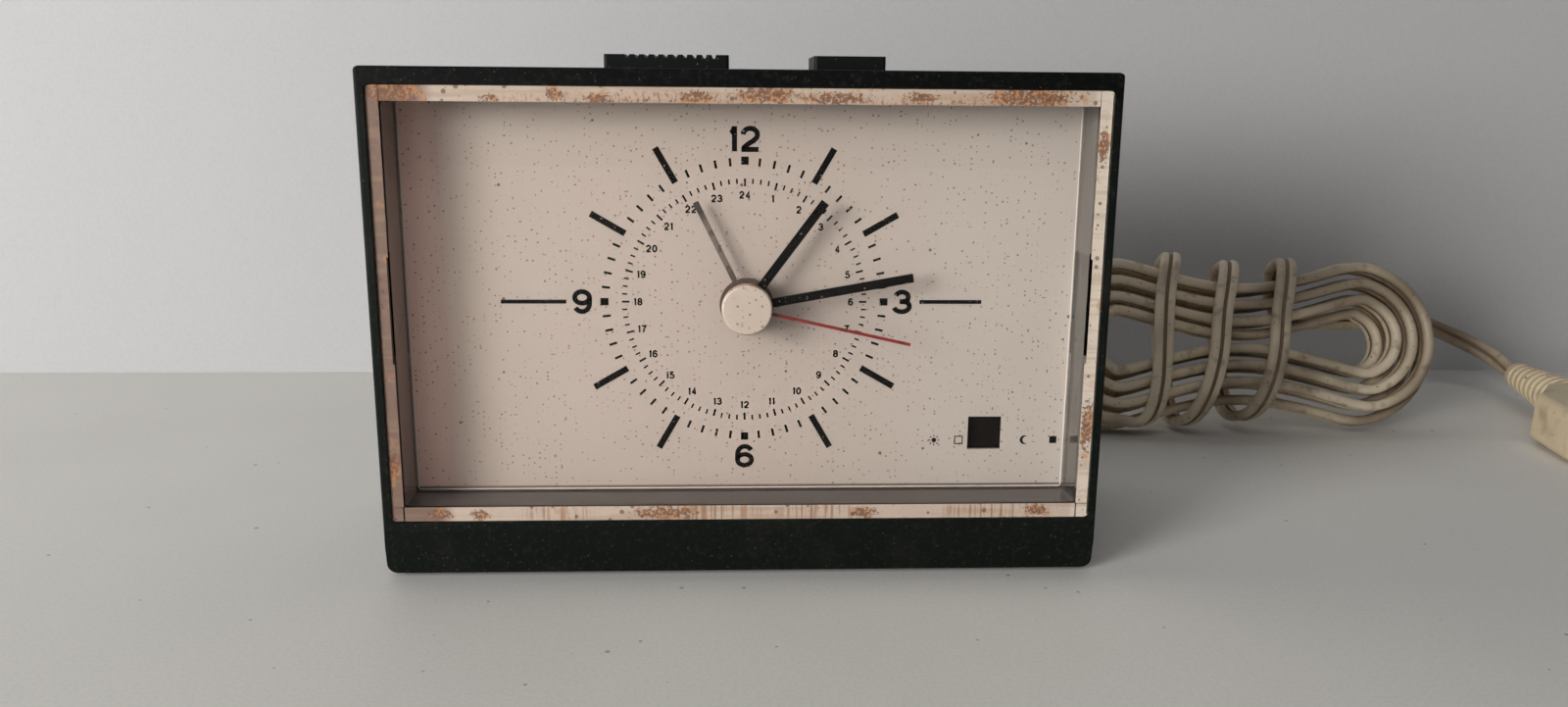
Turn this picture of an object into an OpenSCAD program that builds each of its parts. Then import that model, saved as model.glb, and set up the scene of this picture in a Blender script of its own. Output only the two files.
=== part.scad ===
/* [Case] */
// Width of the case
case_w = 142.4; // [136:0.2:160]
// Height of the case above its feet
case_h = 98.8; // [96:0.2:120]
// Depth of the case from its front plane to its rear rim
case_d = 62; // [60:1:80]
// Thickness of the side walls
side_wall = 1.7; // [1.4:0.1:2.4]
// Thickness of the top and bottom walls
roof_wall = 2.2; // [1.8:0.1:3]
// Height of the plain border above the lens
brow_h = 3.34; // [3:0.02:6]
// Height of the plain chin below the lens
chin_h = 11.3; // [9:0.1:16]
// Height of the fold where the chin starts to slope back
chin_fold_h = 9.4; // [6:0.1:12]
// How far the foot of the chin slopes back
chin_slope = 1.5; // [0.5:0.1:3]
// Radius of the upper corners of the case
top_corner_r = 1.2; // [0.6:0.1:3]
// Radius of the lower corners of the case
low_corner_r = 2; // [0.6:0.1:3]
// Radius of the case's front edge
edge_r = 0.6; // [0.3:0.1:1]
// Thickness of the rubber feet
foot_t = 0.8; // [0.5:0.1:2]

/* [Lens and dial] */
// Depth from the front plane to the dial
lens_d = 12; // [11:0.5:14]
// Thickness of the lens walls at the sides
lens_wall = 2.5; // [1.5:0.1:3]
// Thickness of the lens walls at the top and the bottom
lens_wall_z = 2.9; // [1.5:0.1:3.2]
// Thickness of the lens front pane
pane_t = 1.8; // [1.2:0.1:2.2]
// Height of the tab on each side of the lens
tab_h = 20.6; // [10:0.2:30]
// Thickness of the dial plate
dial_t = 1; // [0.8:0.1:1.5]
// Side of the day and night window
window_s = 7.1; // [5:0.1:8]

/* [Hands] */
// Hour shown, on the twelve hour dial
hour_now = 1.2214; // [0:0.01:12]
// Minute shown
minute_now = 13.285; // [0:0.01:60]
// Second shown
second_now = 17.1; // [0:0.1:60]
// Alarm time shown, on the twenty-four hour ring
alarm_now = 22.25; // [0:0.25:24]
// Length of the hour hand from its axis
hour_len = 25.6; // [15:0.1:27]
// Length of the minute hand from its axis
minute_len = 33.3; // [20:0.1:36]
// Length of the second hand from its axis
second_len = 33.2; // [20:0.1:36]
// Length of the alarm hand from its axis
alarm_len = 22.7; // [15:0.1:26]
// Width of the hour hand and the minute hand
hand_w = 1.75; // [1:0.05:2.5]
// Width of the second hand
second_w = 0.6; // [0.4:0.05:1]
// Width of the alarm hand
alarm_w = 1.1; // [0.6:0.05:2]
// Radius of the cap over the hands
cap_r = 5; // [4:0.1:6]

/* [Buttons] */
// Width of the ribbed bar
bar_w = 24.3; // [20:0.1:30]
// Depth of both buttons from front to back
button_d = 18; // [12:0.5:20]
// Width of the small button
knob_button_w = 14.1; // [10:0.1:18]
// How far the buttons stand out of the case
button_proud = 2.9; // [2:0.1:4]
// Travel of the buttons
button_travel = 1.8; // [1:0.1:2]
// Number of grooves across the bar
groove_count = 10; // [4:1:10]
// Distance from groove to groove
groove_pitch = 1.87; // [1.6:0.01:2.2]

/* [Knobs] */
// Radius of the knobs at the rear
knob_r = 8.5; // [6:0.5:10]
// Length of the knobs
knob_len = 7.4; // [5:0.1:10]

/* [Lead] */
// Width of the twin-core lead
cord_w = 5.6; // [5.6:0.1:5.6]
// Thickness of the twin-core lead
cord_t = 2.8; // [2.8:0.1:2.8]

/* [Hidden] */

// Clearances
run_gap = 0.05;
slip_gap = 0.15;
open_gap = 0.3;

// Planes: depth behind the front plane of the case
knob_gap = 0.6;
rim_recess = 2;
cover_t = 2.2;
knob_out = knob_gap + knob_len - rim_recess;
front_y = -(case_d + knob_out) / 2;
case_z0 = foot_t;
case_z1 = foot_t + case_h;
dial_back = lens_d + dial_t;
ledge_t = 2;
ledge_w = 2;
wheel_t = 1;
plane_step = 1.6;
alarm_plane = dial_back + 0.6;
hour_plane = alarm_plane + plane_step;
day_plane = hour_plane + plane_step;
motion_plane = day_plane + plane_step;
plate_t = 1.2;
front_plate_d = motion_plane + plane_step + 0.2;
centre_plane = front_plate_d + plate_t + 0.8;
third_plane = centre_plane + plane_step + 0.2;
seconds_plane = third_plane + plane_step + 0.2;
second_red_plane = seconds_plane + plane_step + 0.2;
first_red_plane = second_red_plane + plane_step + 0.2;
rotor_d0 = first_red_plane + wheel_t + 0.8;
rotor_len = 5;
rear_plate_d = rotor_d0 + rotor_len + 4;
rear_plate_back = rear_plate_d + plate_t;
cover_d1 = case_d - rim_recess;
cover_d0 = cover_d1 - cover_t;

// Hand planes, counted forward from the dial
alarm_hand_d = lens_d - 2.6;
hour_hand_d = alarm_hand_d - 1.5;
minute_hand_d = hour_hand_d - 1.5;
second_hand_d = minute_hand_d - 1.2;
hand_t = 0.4;
hand_boss_r = 4;
second_boss_r = 2.5;
alarm_boss_r = 5.4;
second_hand_t = 0.3;
cap_t = 1.9;
cap_d = second_hand_d - second_hand_t - cap_t;
cap_face_r = 0.5;

// Arbors and pipes, from the inside out
seconds_r = 0.55;
minute_pipe_r = 1.25;
hour_pipe_r = 2;
alarm_pipe_r = 2.8;
arbor_r = 0.6;
hub_r = 2.2;
set_shaft_r = 1.5;
disc_t = 0.8;

// Lens box
lens_clear = 0.15;
lens_x = case_w / 2 - side_wall - lens_clear;
lens_z0 = case_z0 + chin_h;
lens_z1 = case_z1 - brow_h;
lens_zm = (lens_z0 + lens_z1) / 2;
lens_corner_r = 1;
lens_edge_r = 0.5;
tab_t = 1.3;
tab_end = 1.2;
tab_len = dial_t + ledge_t + tab_end;
lens_pocket_r = 0.6;
inner_r = 1;
pipe_room = 0.8;

// Axis of the hands, a little right of and below the middle of the lens
axis_x = 0.6;
axis_drop = 0.08;
axis_z = lens_zm - axis_drop;

// Gears: teeth and modules
motion_m = 0.6;
cannon_teeth = 12;
minute_teeth = 36;
minute_pinion_teeth = 12;
hour_teeth = 48;
motion_dist = (cannon_teeth + minute_teeth) * motion_m / 2;
hour_m = 2 * motion_dist / (minute_pinion_teeth + hour_teeth);
set_teeth = 12;
alarm_teeth = 48;
alarm_m = 0.6;
alarm_dist = (alarm_teeth + set_teeth) * alarm_m / 2;
day_m = 0.5;
day_drive_teeth = 20;
idler_teeth = 60;
day_teeth = 40;
idler_dist = (day_drive_teeth + idler_teeth) * day_m / 2;
day_dist = (idler_teeth + day_teeth) * day_m / 2;
train_m = 0.4;
centre_m = 0.42;
pinion_teeth = 8;
centre_teeth = 60;
third_teeth = 64;
seconds_teeth = 64;
second_red_teeth = 50;
first_red_teeth = 60;
third_dist = (pinion_teeth + centre_teeth) * centre_m / 2;
third_m = 2 * third_dist / (pinion_teeth + third_teeth);
second_red_dist = (pinion_teeth + seconds_teeth) * train_m / 2;
first_red_dist = (pinion_teeth + second_red_teeth) * train_m / 2;
rotor_m = 0.3;
rotor_dist = (pinion_teeth + first_red_teeth) * rotor_m / 2;

// Directions from arbor to arbor, anticlockwise from +X as seen from the front
motion_dir = 225;
alarm_dir = 135;
day_dir = -36;
third_dir = 270;
second_red_dir = 30;
first_red_dir = -20;
rotor_dir = -60;

// Places of the arbors in the plane of the dial
function step_to(p, dist, dir) = [p[0] + dist * cos(dir), p[1] + dist * sin(dir)];
main_at = [axis_x, axis_z];
minute_at = step_to(main_at, motion_dist, motion_dir);
time_at = step_to(minute_at, (minute_teeth + set_teeth) * motion_m / 2, motion_dir);
alarm_at = step_to(main_at, alarm_dist, alarm_dir);
idler_at = step_to(main_at, idler_dist, day_dir);
day_at = step_to(idler_at, day_dist, day_dir);
third_at = step_to(main_at, third_dist, third_dir);
second_red_at = step_to(main_at, second_red_dist, second_red_dir);
first_red_at = step_to(second_red_at, first_red_dist, first_red_dir);
rotor_at = step_to(first_red_at, rotor_dist, rotor_dir);

// Window of the day and night disc
window_reach = 13.24;
window_dir = -4.6;
window_at = step_to(day_at, window_reach, window_dir);
disc_r = 18;

// Movement plates and the posts that carry them on the dial
plate_left = 27.3;
plate_right = 55.7;
plate_below = 38.1;
plate_above = 22.7;
plate_x = [axis_x - plate_left, axis_x + plate_right];
plate_z = [axis_z - plate_below, axis_z + plate_above];
plate_r = 4;
pillar_r = 2;
pillar_in = 4.5;
nut_r = 3;
nut_t = 2;
mid_post_right = 13.7;
pillars_at = [
    for (x = [plate_x[0] + pillar_in, plate_x[1] - pillar_in])
    for (z = [plate_z[0] + pillar_in, plate_z[1] - pillar_in]) [x, z]
];
posts_at = [pillars_at[0], pillars_at[1], pillars_at[3], [axis_x + mid_post_right, pillars_at[0][1]]];

// Motor
rotor_r = 8;
air_gap = 0.5;
core_w = 5;
core_half = 16.5;
core_t = rotor_len;
coil_drop = 22.5;
coil_z = rotor_at[1] - coil_drop;
coil_half = 12.5;
coil_r = 6;
bobbin_wall = 0.8;
spool_r = 4.4;
winding_r = coil_r - 0.5;
reed_t = 0.5;
reed_gap = 0.8;
reed_drop = 1.8;
reed_tail = 9;
reed_pad = [7, 3];
pole_h = 12;
pole_gap = 2;
core_stud_r = 1.6;

// Length by which a cut runs past the surface that it opens, and by which joined solids share
cut = 1;
lap = 0.1;

// Cover screws
boss_in = 4;
boss_up = 7.2;
screw_at = [
    for (x = [-1, 1])
    for (z = [case_z0 + boss_up, case_z1 - boss_up]) [x * (case_w / 2 - side_wall - boss_in), z]
];
boss_r = 3.4;
boss_extra = 2;
rib_t = 2;
screw_r = 1.5;
screw_head_r = 2.9;
screw_len = 10;
head_sink = 0.8;
head_proud = 0.9;
slot_w = 0.8;
slot_deep = 0.7;
thread_gap = 0.02;

// Feet
foot_r = 4;
foot_in = 10;
foot_end = 8;

// Vents in the rear cover
vent_x = 22;
vent_h = 40;
vent_w = 26;
vent_slot = 1.6;
vent_pitch = 4;
vent_count = 9;

// Knobs
flute_count = 24;
flute_r = 0.7;
knob_step = 0.9;
knob_skirt = 1.2;
knob_rim = 0.6;
knob_bore = 5;
knob_dish = 1;
knob_dish_in = 2.4;

// Gland of the lead
gland_x = 50;
gland_h = 11;
gland_at = [gland_x, case_z0 + gland_h];
gland_neck_r = 3.2;
gland_lip = 1.2;
gland_lip_t = 2;
gland_collar = 2;
gland_len = 22;
gland_out_d = cover_d1 + gland_len;

// Buttons
button_front_d = 14;
bar_at = [-15.05, button_front_d + button_d / 2];
small_at = [20.85, button_front_d + button_d / 2];
hole_deep = 6;
button_gap = 0.4;
button_corner_r = 0.6;
flange_w = 1.2;
flange_t = 1.2;
flange_d0 = dial_back + ledge_t + open_gap;
groove_depth = 0.7;
groove_w = 0.9;
groove_shift = 0.8;
stem_r = 2;
bridge_drop = 15.8;
bridge_z = case_z1 - bridge_drop;
bridge_d = 14;
ear_w = 10;
ear_in = 8;
ear_lap = 7;
bridge_t = 1.2;
stem_spacing = 16;
stem_below = 2.4;
bar_stems = [bar_at[0] - stem_spacing / 2, bar_at[0] + stem_spacing / 2];
stem_end_z = bridge_z - stem_below;
spring_wire = 0.35;
spring_r = 2.9;
spring_turns = 5;
button_z1 = case_z1 + button_proud;
flange_z1 = case_z1 - roof_wall - 0.1;
flange_z0 = flange_z1 - flange_t;

// A flat outline drawn in X and Z, made solid from depth d0 to depth d1
module slab(d0, d1) {
    translate([0, front_y + d1, 0]) rotate([90, 0, 0]) linear_extrude(d1 - d0) children();
}

// A round bar along the depth
module bar(p, r, d0, d1) {
    slab(d0, d1) translate(p) circle(r, $fn = 48);
}

// A rectangle with four rounded corners: radii low left, low right, top right, top left
module round_rect(x, z, r) {
    polygon([
        [x[0] + r[0], z[0]], [x[1] - r[1], z[0]], [x[1], z[0] + r[1]], [x[1], z[1] - r[2]],
        [x[1] - r[2], z[1]], [x[0] + r[3], z[1]], [x[0], z[1] - r[3]], [x[0], z[0] + r[0]]
    ]);
    translate([x[0] + r[0], z[0] + r[0]]) circle(r[0], $fn = 48);
    translate([x[1] - r[1], z[0] + r[1]]) circle(r[1], $fn = 48);
    translate([x[1] - r[2], z[1] - r[2]]) circle(r[2], $fn = 48);
    translate([x[0] + r[3], z[1] - r[3]]) circle(r[3], $fn = 48);
}
module even_rect(x, z, r) {
    round_rect(x, z, [r, r, r, r]);
}

// A gear outline with straight flanks; phase is the direction of one tooth
module gear(teeth, m, phase, at) {
    step = 360 / teeth;
    r = teeth * m / 2;
    tip = r + 0.8 * m;
    root = r - 1.15 * m;
    translate(at) polygon([
        for (k = [0 : teeth - 1])
        for (p = [[root, -0.36], [tip, -0.1], [tip, 0.1], [root, 0.36]])
        p[0] * [cos(phase + step * (k + p[1])), sin(phase + step * (k + p[1]))]
    ]);
}

// Phase of a gear that meshes with another one in direction dir from it
function mesh(dir, phase, teeth_a, teeth_b) =
    dir + 180 - teeth_a / teeth_b * (phase - dir) - 180 / teeth_b;

// Directions of the hands, clockwise from twelve, turned into drawing angles
hour_phase = -hour_now * 30;
minute_phase = -minute_now * 6;
second_phase = -second_now * 6;
alarm_phase = -alarm_now * 15;
cannon_phase = minute_phase + 90;
minute_wheel_phase = mesh(motion_dir, cannon_phase, cannon_teeth, minute_teeth);
minute_pinion_phase = motion_dir;
hour_wheel_phase = mesh(motion_dir + 180, minute_pinion_phase, minute_pinion_teeth, hour_teeth);
time_phase = mesh(motion_dir, minute_wheel_phase, minute_teeth, set_teeth);
alarm_wheel_phase = alarm_phase + 90;
alarm_set_phase = mesh(alarm_dir, alarm_wheel_phase, alarm_teeth, set_teeth);
day_drive_phase = 0;
idler_phase = mesh(day_dir, day_drive_phase, day_drive_teeth, idler_teeth);
day_phase = mesh(day_dir, idler_phase, idler_teeth, day_teeth);
third_gear_phase = mesh(third_dir, second_phase, pinion_teeth, third_teeth);
third_pinion_phase = 0;
centre_phase = mesh(third_dir + 180, third_pinion_phase, pinion_teeth, centre_teeth);
seconds_phase = 0;
second_red_pinion_phase = mesh(second_red_dir, seconds_phase, seconds_teeth, pinion_teeth);
second_red_phase = 0;
first_red_pinion_phase = mesh(first_red_dir, second_red_phase, second_red_teeth, pinion_teeth);
first_red_phase = 0;
rotor_phase = mesh(rotor_dir, first_red_phase, first_red_teeth, pinion_teeth);

// Case

module case_outer() {
    y0 = front_y;
    y1 = front_y + case_d;
    intersection() {
        slab(0, case_d) round_rect([-case_w / 2, case_w / 2], [case_z0, case_z1],
            [low_corner_r, low_corner_r, top_corner_r, top_corner_r]);
        translate([-case_w, 0, 0]) rotate([90, 0, 90]) linear_extrude(2 * case_w) union() {
            polygon([
                [y0 + chin_slope, case_z0], [y1 + 1, case_z0], [y1 + 1, case_z1 + 1],
                [y0 + edge_r, case_z1 + 1], [y0 + edge_r, case_z1], [y0, case_z1 - edge_r],
                [y0, case_z0 + chin_fold_h]
            ]);
            translate([y0 + edge_r, case_z1 - edge_r]) circle(edge_r, $fn = 48);
        }
        translate([0, 0, -1]) linear_extrude(case_z1 + 2) union() {
            polygon([
                [edge_r - case_w / 2, y0], [case_w / 2 - edge_r, y0], [case_w / 2, y0 + edge_r],
                [case_w / 2, y1 + 1], [-case_w / 2, y1 + 1], [-case_w / 2, y0 + edge_r]
            ]);
            for (s = [-1, 1]) translate([s * (case_w / 2 - edge_r), y0 + edge_r]) circle(edge_r, $fn = 48);
        }
    }
}

module button_hole(at, w) {
    translate([at[0] - w / 2 - button_gap, front_y + at[1] - button_d / 2 - button_gap, case_z1 - hole_deep])
        cube([w + 2 * button_gap, button_d + 2 * button_gap, 2 * hole_deep]);
}

// Bosses for the cover screws, each tied to the side and to the top or bottom wall
module cover_bosses() {
    inner_x = case_w / 2 - side_wall;
    intersection() {
        slab(cover_d0 - screw_len - boss_extra, cover_d0) for (p = screw_at) {
            wall_z = p[1] < axis_z ? case_z0 + roof_wall / 2 : case_z1 - roof_wall / 2;
            translate(p) circle(boss_r, $fn = 48);
            translate([sign(p[0]) * (inner_x - boss_in / 2), p[1]])
                square([boss_in + 1, rib_t], center = true);
            translate([p[0], (p[1] + wall_z) / 2]) square([rib_t, abs(p[1] - wall_z)], center = true);
        }
        case_outer();
    }
}

module case_shell() {
    inner_x = case_w / 2 - side_wall;
    floor_z = case_z0 + roof_wall;
    pocket_z0 = lens_z0 - lens_clear;
    pocket_z1 = lens_z1 + lens_clear;
    color([0.07, 0.1, 0.08]) difference() {
        union() {
            difference() {
                case_outer();
                slab(-cut, dial_back)
                    even_rect([-inner_x, inner_x], [pocket_z0, pocket_z1], lens_corner_r);
                slab(dial_back - lap, dial_back + ledge_t + lap)
                    even_rect([ledge_w - inner_x, inner_x - ledge_w],
                        [pocket_z0 + ledge_w, pocket_z1 - ledge_w], inner_r);
                slab(dial_back + ledge_t, case_d + cut)
                    even_rect([-inner_x, inner_x], [floor_z, case_z1 - roof_wall], inner_r);
                slab(roof_wall + chin_slope, dial_back + ledge_t + cut)
                    even_rect([-inner_x, inner_x], [floor_z, pocket_z0 - roof_wall], inner_r);
                for (s = [-1, 1]) slab(dial_back - lap, dial_back + ledge_t + lap)
                    translate([s * (inner_x - (ledge_w + lap) / 2 + lap), lens_zm])
                        square([ledge_w + lap, tab_h + 2 * open_gap], center = true);
                bar(day_at, disc_r + 2 * open_gap, dial_back - lap, dial_back + ledge_t + roof_wall);
            }
            cover_bosses();
        }
        slab(cover_d0 - screw_len, cover_d0 + cut) for (p = screw_at) translate(p) circle(screw_r, $fn = 32);
        button_hole(bar_at, bar_w);
        button_hole(small_at, knob_button_w);
    }
}

module lens() {
    y0 = front_y;
    color([0.85, 0.87, 0.86, 0.3]) {
        difference() {
            intersection() {
                slab(0, lens_d) even_rect([-lens_x, lens_x], [lens_z0, lens_z1], lens_corner_r);
                translate([-lens_x - 1, 0, 0]) rotate([90, 0, 90]) linear_extrude(2 * lens_x + 2) union() {
                    polygon([
                        [y0 + lens_edge_r, lens_z0], [y0 + lens_d, lens_z0], [y0 + lens_d, lens_z1],
                        [y0 + lens_edge_r, lens_z1], [y0, lens_z1 - lens_edge_r], [y0, lens_z0 + lens_edge_r]
                    ]);
                    for (z = [lens_z0 + lens_edge_r, lens_z1 - lens_edge_r])
                        translate([y0 + lens_edge_r, z]) circle(lens_edge_r, $fn = 48);
                }
            }
            slab(pane_t, lens_d + cut)
                even_rect([lens_wall - lens_x, lens_x - lens_wall],
                    [lens_z0 + lens_wall_z, lens_z1 - lens_wall_z], lens_pocket_r);
        }
        for (s = [-1, 1]) slab(lens_d, lens_d + tab_len)
            translate([s * (lens_x - tab_t / 2), lens_zm]) square([tab_t, tab_h], center = true);
    }
}

module dial_plate() {
    color([0.84, 0.8, 0.72]) slab(lens_d, dial_back) difference() {
        even_rect([-lens_x, lens_x], [lens_z0, lens_z1], lens_corner_r);
        translate(main_at) circle(alarm_pipe_r + pipe_room, $fn = 48);
        translate(window_at) square(window_s, center = true);
        for (s = [-1, 1]) translate([s * (lens_x - tab_t / 2), lens_zm])
            square([tab_t + 2 * slip_gap, tab_h + 2 * slip_gap], center = true);
    }
}

module rear_cover() {
    x1 = case_w / 2 - side_wall - slip_gap;
    z0 = case_z0 + roof_wall + slip_gap;
    z1 = case_z1 - roof_wall - slip_gap;
    vent_z0 = case_z0 + vent_h;
    color([0.08, 0.1, 0.09]) difference() {
        slab(cover_d0, cover_d1) difference() {
            even_rect([-x1, x1], [z0, z1], inner_r);
            for (p = screw_at) translate(p) circle(screw_r + slip_gap, $fn = 32);
            for (p = [time_at, alarm_at]) translate(p) circle(set_shaft_r + open_gap, $fn = 32);
            translate(gland_at) circle(gland_neck_r + slip_gap, $fn = 32);
            for (z = [for (k = [0 : vent_count - 1]) vent_z0 + k * vent_pitch])
                even_rect([vent_x, vent_x + vent_w], [z, z + vent_slot], 0.45 * vent_slot);
        }
        slab(cover_d1 - head_sink, cover_d1 + cut) for (p = screw_at)
            translate(p) circle(screw_head_r + slip_gap, $fn = 32);
    }
}

module cover_screws() {
    head_d1 = cover_d1 + head_proud;
    color([0.7, 0.7, 0.68]) for (p = screw_at) difference() {
        union() {
            bar(p, screw_r - thread_gap, cover_d0 - screw_len + cut, cover_d1 - head_sink);
            bar(p, screw_head_r, cover_d1 - head_sink, head_d1);
        }
        slab(head_d1 - slot_deep, head_d1 + cut) translate(p)
            square([2 * (screw_head_r + cut), slot_w], center = true);
    }
}

module rubber_feet() {
    color([0.1, 0.1, 0.1]) for (x = [-1, 1]) for (d = [foot_end, case_d - foot_end])
        translate([x * (case_w / 2 - foot_in), front_y + d, 0]) cylinder(h = foot_t, r = foot_r, $fn = 48);
}

// Hands and cap

module hand_outline(len, w, root_r) {
    translate([-w / 2, 0]) square([w, len]);
    circle(root_r, $fn = 48);
}

module hour_hand() {
    color([0.05, 0.05, 0.05]) slab(hour_hand_d - hand_t, hour_hand_d) translate(main_at) difference() {
        rotate(hour_phase) hand_outline(hour_len, hand_w, hand_boss_r);
        circle(minute_pipe_r + run_gap, $fn = 48);
    }
}

module minute_hand() {
    color([0.05, 0.05, 0.05]) slab(minute_hand_d - hand_t, minute_hand_d) translate(main_at) difference() {
        rotate(minute_phase) hand_outline(minute_len, hand_w, hand_boss_r);
        circle(seconds_r + run_gap, $fn = 48);
    }
}

module second_hand() {
    color([0.45, 0.08, 0.07])
        slab(second_hand_d - second_hand_t, second_hand_d) translate(main_at) difference() {
        rotate(second_phase) hand_outline(second_len, second_w, second_boss_r);
        circle(seconds_r, $fn = 48);
    }
}

module alarm_hand() {
    color([0.35, 0.32, 0.29]) slab(alarm_hand_d - hand_t, alarm_hand_d) translate(main_at) difference() {
        rotate(alarm_phase) hand_outline(alarm_len, alarm_w, alarm_boss_r);
        circle(hour_pipe_r + run_gap, $fn = 48);
    }
}

module centre_cap() {
    color([0.88, 0.85, 0.78]) difference() {
        translate([axis_x, front_y + cap_d, axis_z]) rotate([-90, 0, 0]) rotate_extrude($fn = 72) union() {
            translate([0, cap_face_r]) square([cap_r, cap_t - cap_face_r]);
            square([cap_r - cap_face_r, cap_t]);
            translate([cap_r - cap_face_r, cap_face_r]) intersection() {
                circle(cap_face_r, $fn = 48);
                translate([0, -cap_r]) square(2 * cap_r);
            }
        }
        slab(cap_d + cap_t / 2, second_hand_d + 1) translate(main_at) circle(seconds_r, $fn = 48);
    }
}

// Movement plates

module plate_outline() {
    even_rect(plate_x, plate_z, plate_r);
}

module front_plate() {
    color([0.72, 0.58, 0.3]) slab(front_plate_d, front_plate_d + plate_t) difference() {
        plate_outline();
        translate(main_at) circle(minute_pipe_r + run_gap, $fn = 48);
        for (p = [time_at, alarm_at]) translate(p) circle(set_shaft_r + run_gap, $fn = 48);
        for (p = [minute_at, idler_at, day_at, third_at, second_red_at, first_red_at, rotor_at])
            translate(p) circle(arbor_r + run_gap, $fn = 32);
    }
}

module rear_plate() {
    color([0.72, 0.58, 0.3]) slab(rear_plate_d, rear_plate_back) difference() {
        plate_outline();
        translate(main_at) circle(seconds_r + run_gap, $fn = 48);
        for (p = [time_at, alarm_at]) translate(p) circle(set_shaft_r + run_gap, $fn = 48);
        for (p = [third_at, second_red_at, first_red_at, rotor_at])
            translate(p) circle(arbor_r + run_gap, $fn = 32);
    }
}

module pillars() {
    color([0.6, 0.6, 0.6]) for (p = pillars_at) {
        bar(p, pillar_r, front_plate_d + plate_t, rear_plate_d);
        slab(rear_plate_back, rear_plate_back + nut_t) translate(p) circle(nut_r, $fn = 6);
    }
}

module dial_posts() {
    color([0.6, 0.6, 0.6]) for (p = posts_at) bar(p, pillar_r, dial_back, front_plate_d);
}

// Motion work and the alarm and day trains

module cannon_pinion() {
    color([0.75, 0.6, 0.3]) difference() {
        union() {
            bar(main_at, minute_pipe_r, minute_hand_d, front_plate_d + plate_t + slip_gap);
            slab(motion_plane, motion_plane + wheel_t) gear(cannon_teeth, motion_m, cannon_phase, main_at);
        }
        bar(main_at, seconds_r + run_gap, 0, case_d);
    }
}

module minute_wheel() {
    color([0.75, 0.6, 0.3]) {
        bar(minute_at, arbor_r, hour_plane, front_plate_d + plate_t);
        slab(motion_plane, motion_plane + wheel_t)
            gear(minute_teeth, motion_m, minute_wheel_phase, minute_at);
        slab(hour_plane, hour_plane + wheel_t)
            gear(minute_pinion_teeth, hour_m, minute_pinion_phase, minute_at);
    }
}

module hour_wheel() {
    color([0.75, 0.6, 0.3]) difference() {
        union() {
            bar(main_at, hour_pipe_r, hour_hand_d, day_plane + wheel_t);
            slab(hour_plane, hour_plane + wheel_t) gear(hour_teeth, hour_m, hour_wheel_phase, main_at);
            slab(day_plane, day_plane + wheel_t) gear(day_drive_teeth, day_m, day_drive_phase, main_at);
        }
        bar(main_at, minute_pipe_r + run_gap, 0, case_d);
    }
}

module alarm_wheel() {
    color([0.75, 0.6, 0.3]) difference() {
        union() {
            bar(main_at, alarm_pipe_r, alarm_hand_d, alarm_plane + wheel_t);
            slab(alarm_plane, alarm_plane + wheel_t) gear(alarm_teeth, alarm_m, alarm_wheel_phase, main_at);
        }
        bar(main_at, hour_pipe_r + run_gap, 0, case_d);
    }
}

module alarm_shaft() {
    color([0.65, 0.65, 0.65]) {
        bar(alarm_at, set_shaft_r, alarm_plane, cover_d1 + knob_gap + knob_bore);
        slab(alarm_plane, alarm_plane + wheel_t) gear(set_teeth, alarm_m, alarm_set_phase, alarm_at);
    }
}

module time_shaft() {
    color([0.65, 0.65, 0.65]) {
        bar(time_at, set_shaft_r, motion_plane, cover_d1 + knob_gap + knob_bore);
        slab(motion_plane, motion_plane + wheel_t) gear(set_teeth, motion_m, time_phase, time_at);
    }
}

// A knob with a fluted rim, on a shaft
module knob(at) {
    d0 = cover_d1 + knob_gap;
    d1 = d0 + knob_len;
    difference() {
        union() {
            bar(at, knob_r - knob_step, d0, d1);
            bar(at, knob_r, d0 + knob_skirt, d1 - knob_rim);
        }
        slab(d0 + 2 * knob_skirt, d1 + cut) for (k = [0 : flute_count - 1])
            translate(at) rotate(k * 360 / flute_count) translate([knob_r, 0]) circle(flute_r, $fn = 24);
        bar(at, set_shaft_r, d0 - cut, d0 + knob_bore);
        bar(at, knob_r - knob_dish_in, d1 - knob_dish, d1 + cut);
    }
}
module alarm_knob() {
    color([0.07, 0.07, 0.07]) knob(alarm_at);
}
module time_knob() {
    color([0.07, 0.07, 0.07]) knob(time_at);
}

module day_idler() {
    color([0.75, 0.6, 0.3]) {
        bar(idler_at, arbor_r, day_plane, front_plate_d + plate_t);
        slab(day_plane, day_plane + wheel_t) gear(idler_teeth, day_m, idler_phase, idler_at);
    }
}

module day_wheel() {
    color([0.75, 0.6, 0.3]) {
        bar(day_at, arbor_r, alarm_plane, front_plate_d + plate_t);
        slab(day_plane, day_plane + wheel_t) gear(day_teeth, day_m, day_phase, day_at);
    }
}

module day_night_disc() {
    color([0.06, 0.06, 0.06]) slab(alarm_plane, alarm_plane + disc_t) translate(day_at) difference() {
        circle(disc_r, $fn = 96);
        circle(arbor_r, $fn = 32);
    }
}

// Running train

module seconds_wheel() {
    color([0.75, 0.6, 0.3]) {
        bar(main_at, seconds_r, cap_d + cap_t / 2, rear_plate_back);
        slab(third_plane, third_plane + wheel_t) gear(pinion_teeth, third_m, second_phase, main_at);
        slab(seconds_plane, seconds_plane + wheel_t) gear(seconds_teeth, train_m, seconds_phase, main_at);
    }
}

module third_wheel() {
    color([0.75, 0.6, 0.3]) {
        bar(third_at, arbor_r, front_plate_d, rear_plate_back);
        slab(centre_plane, centre_plane + wheel_t)
            gear(pinion_teeth, centre_m, third_pinion_phase, third_at);
        slab(third_plane, third_plane + wheel_t) gear(third_teeth, third_m, third_gear_phase, third_at);
    }
}

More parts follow.
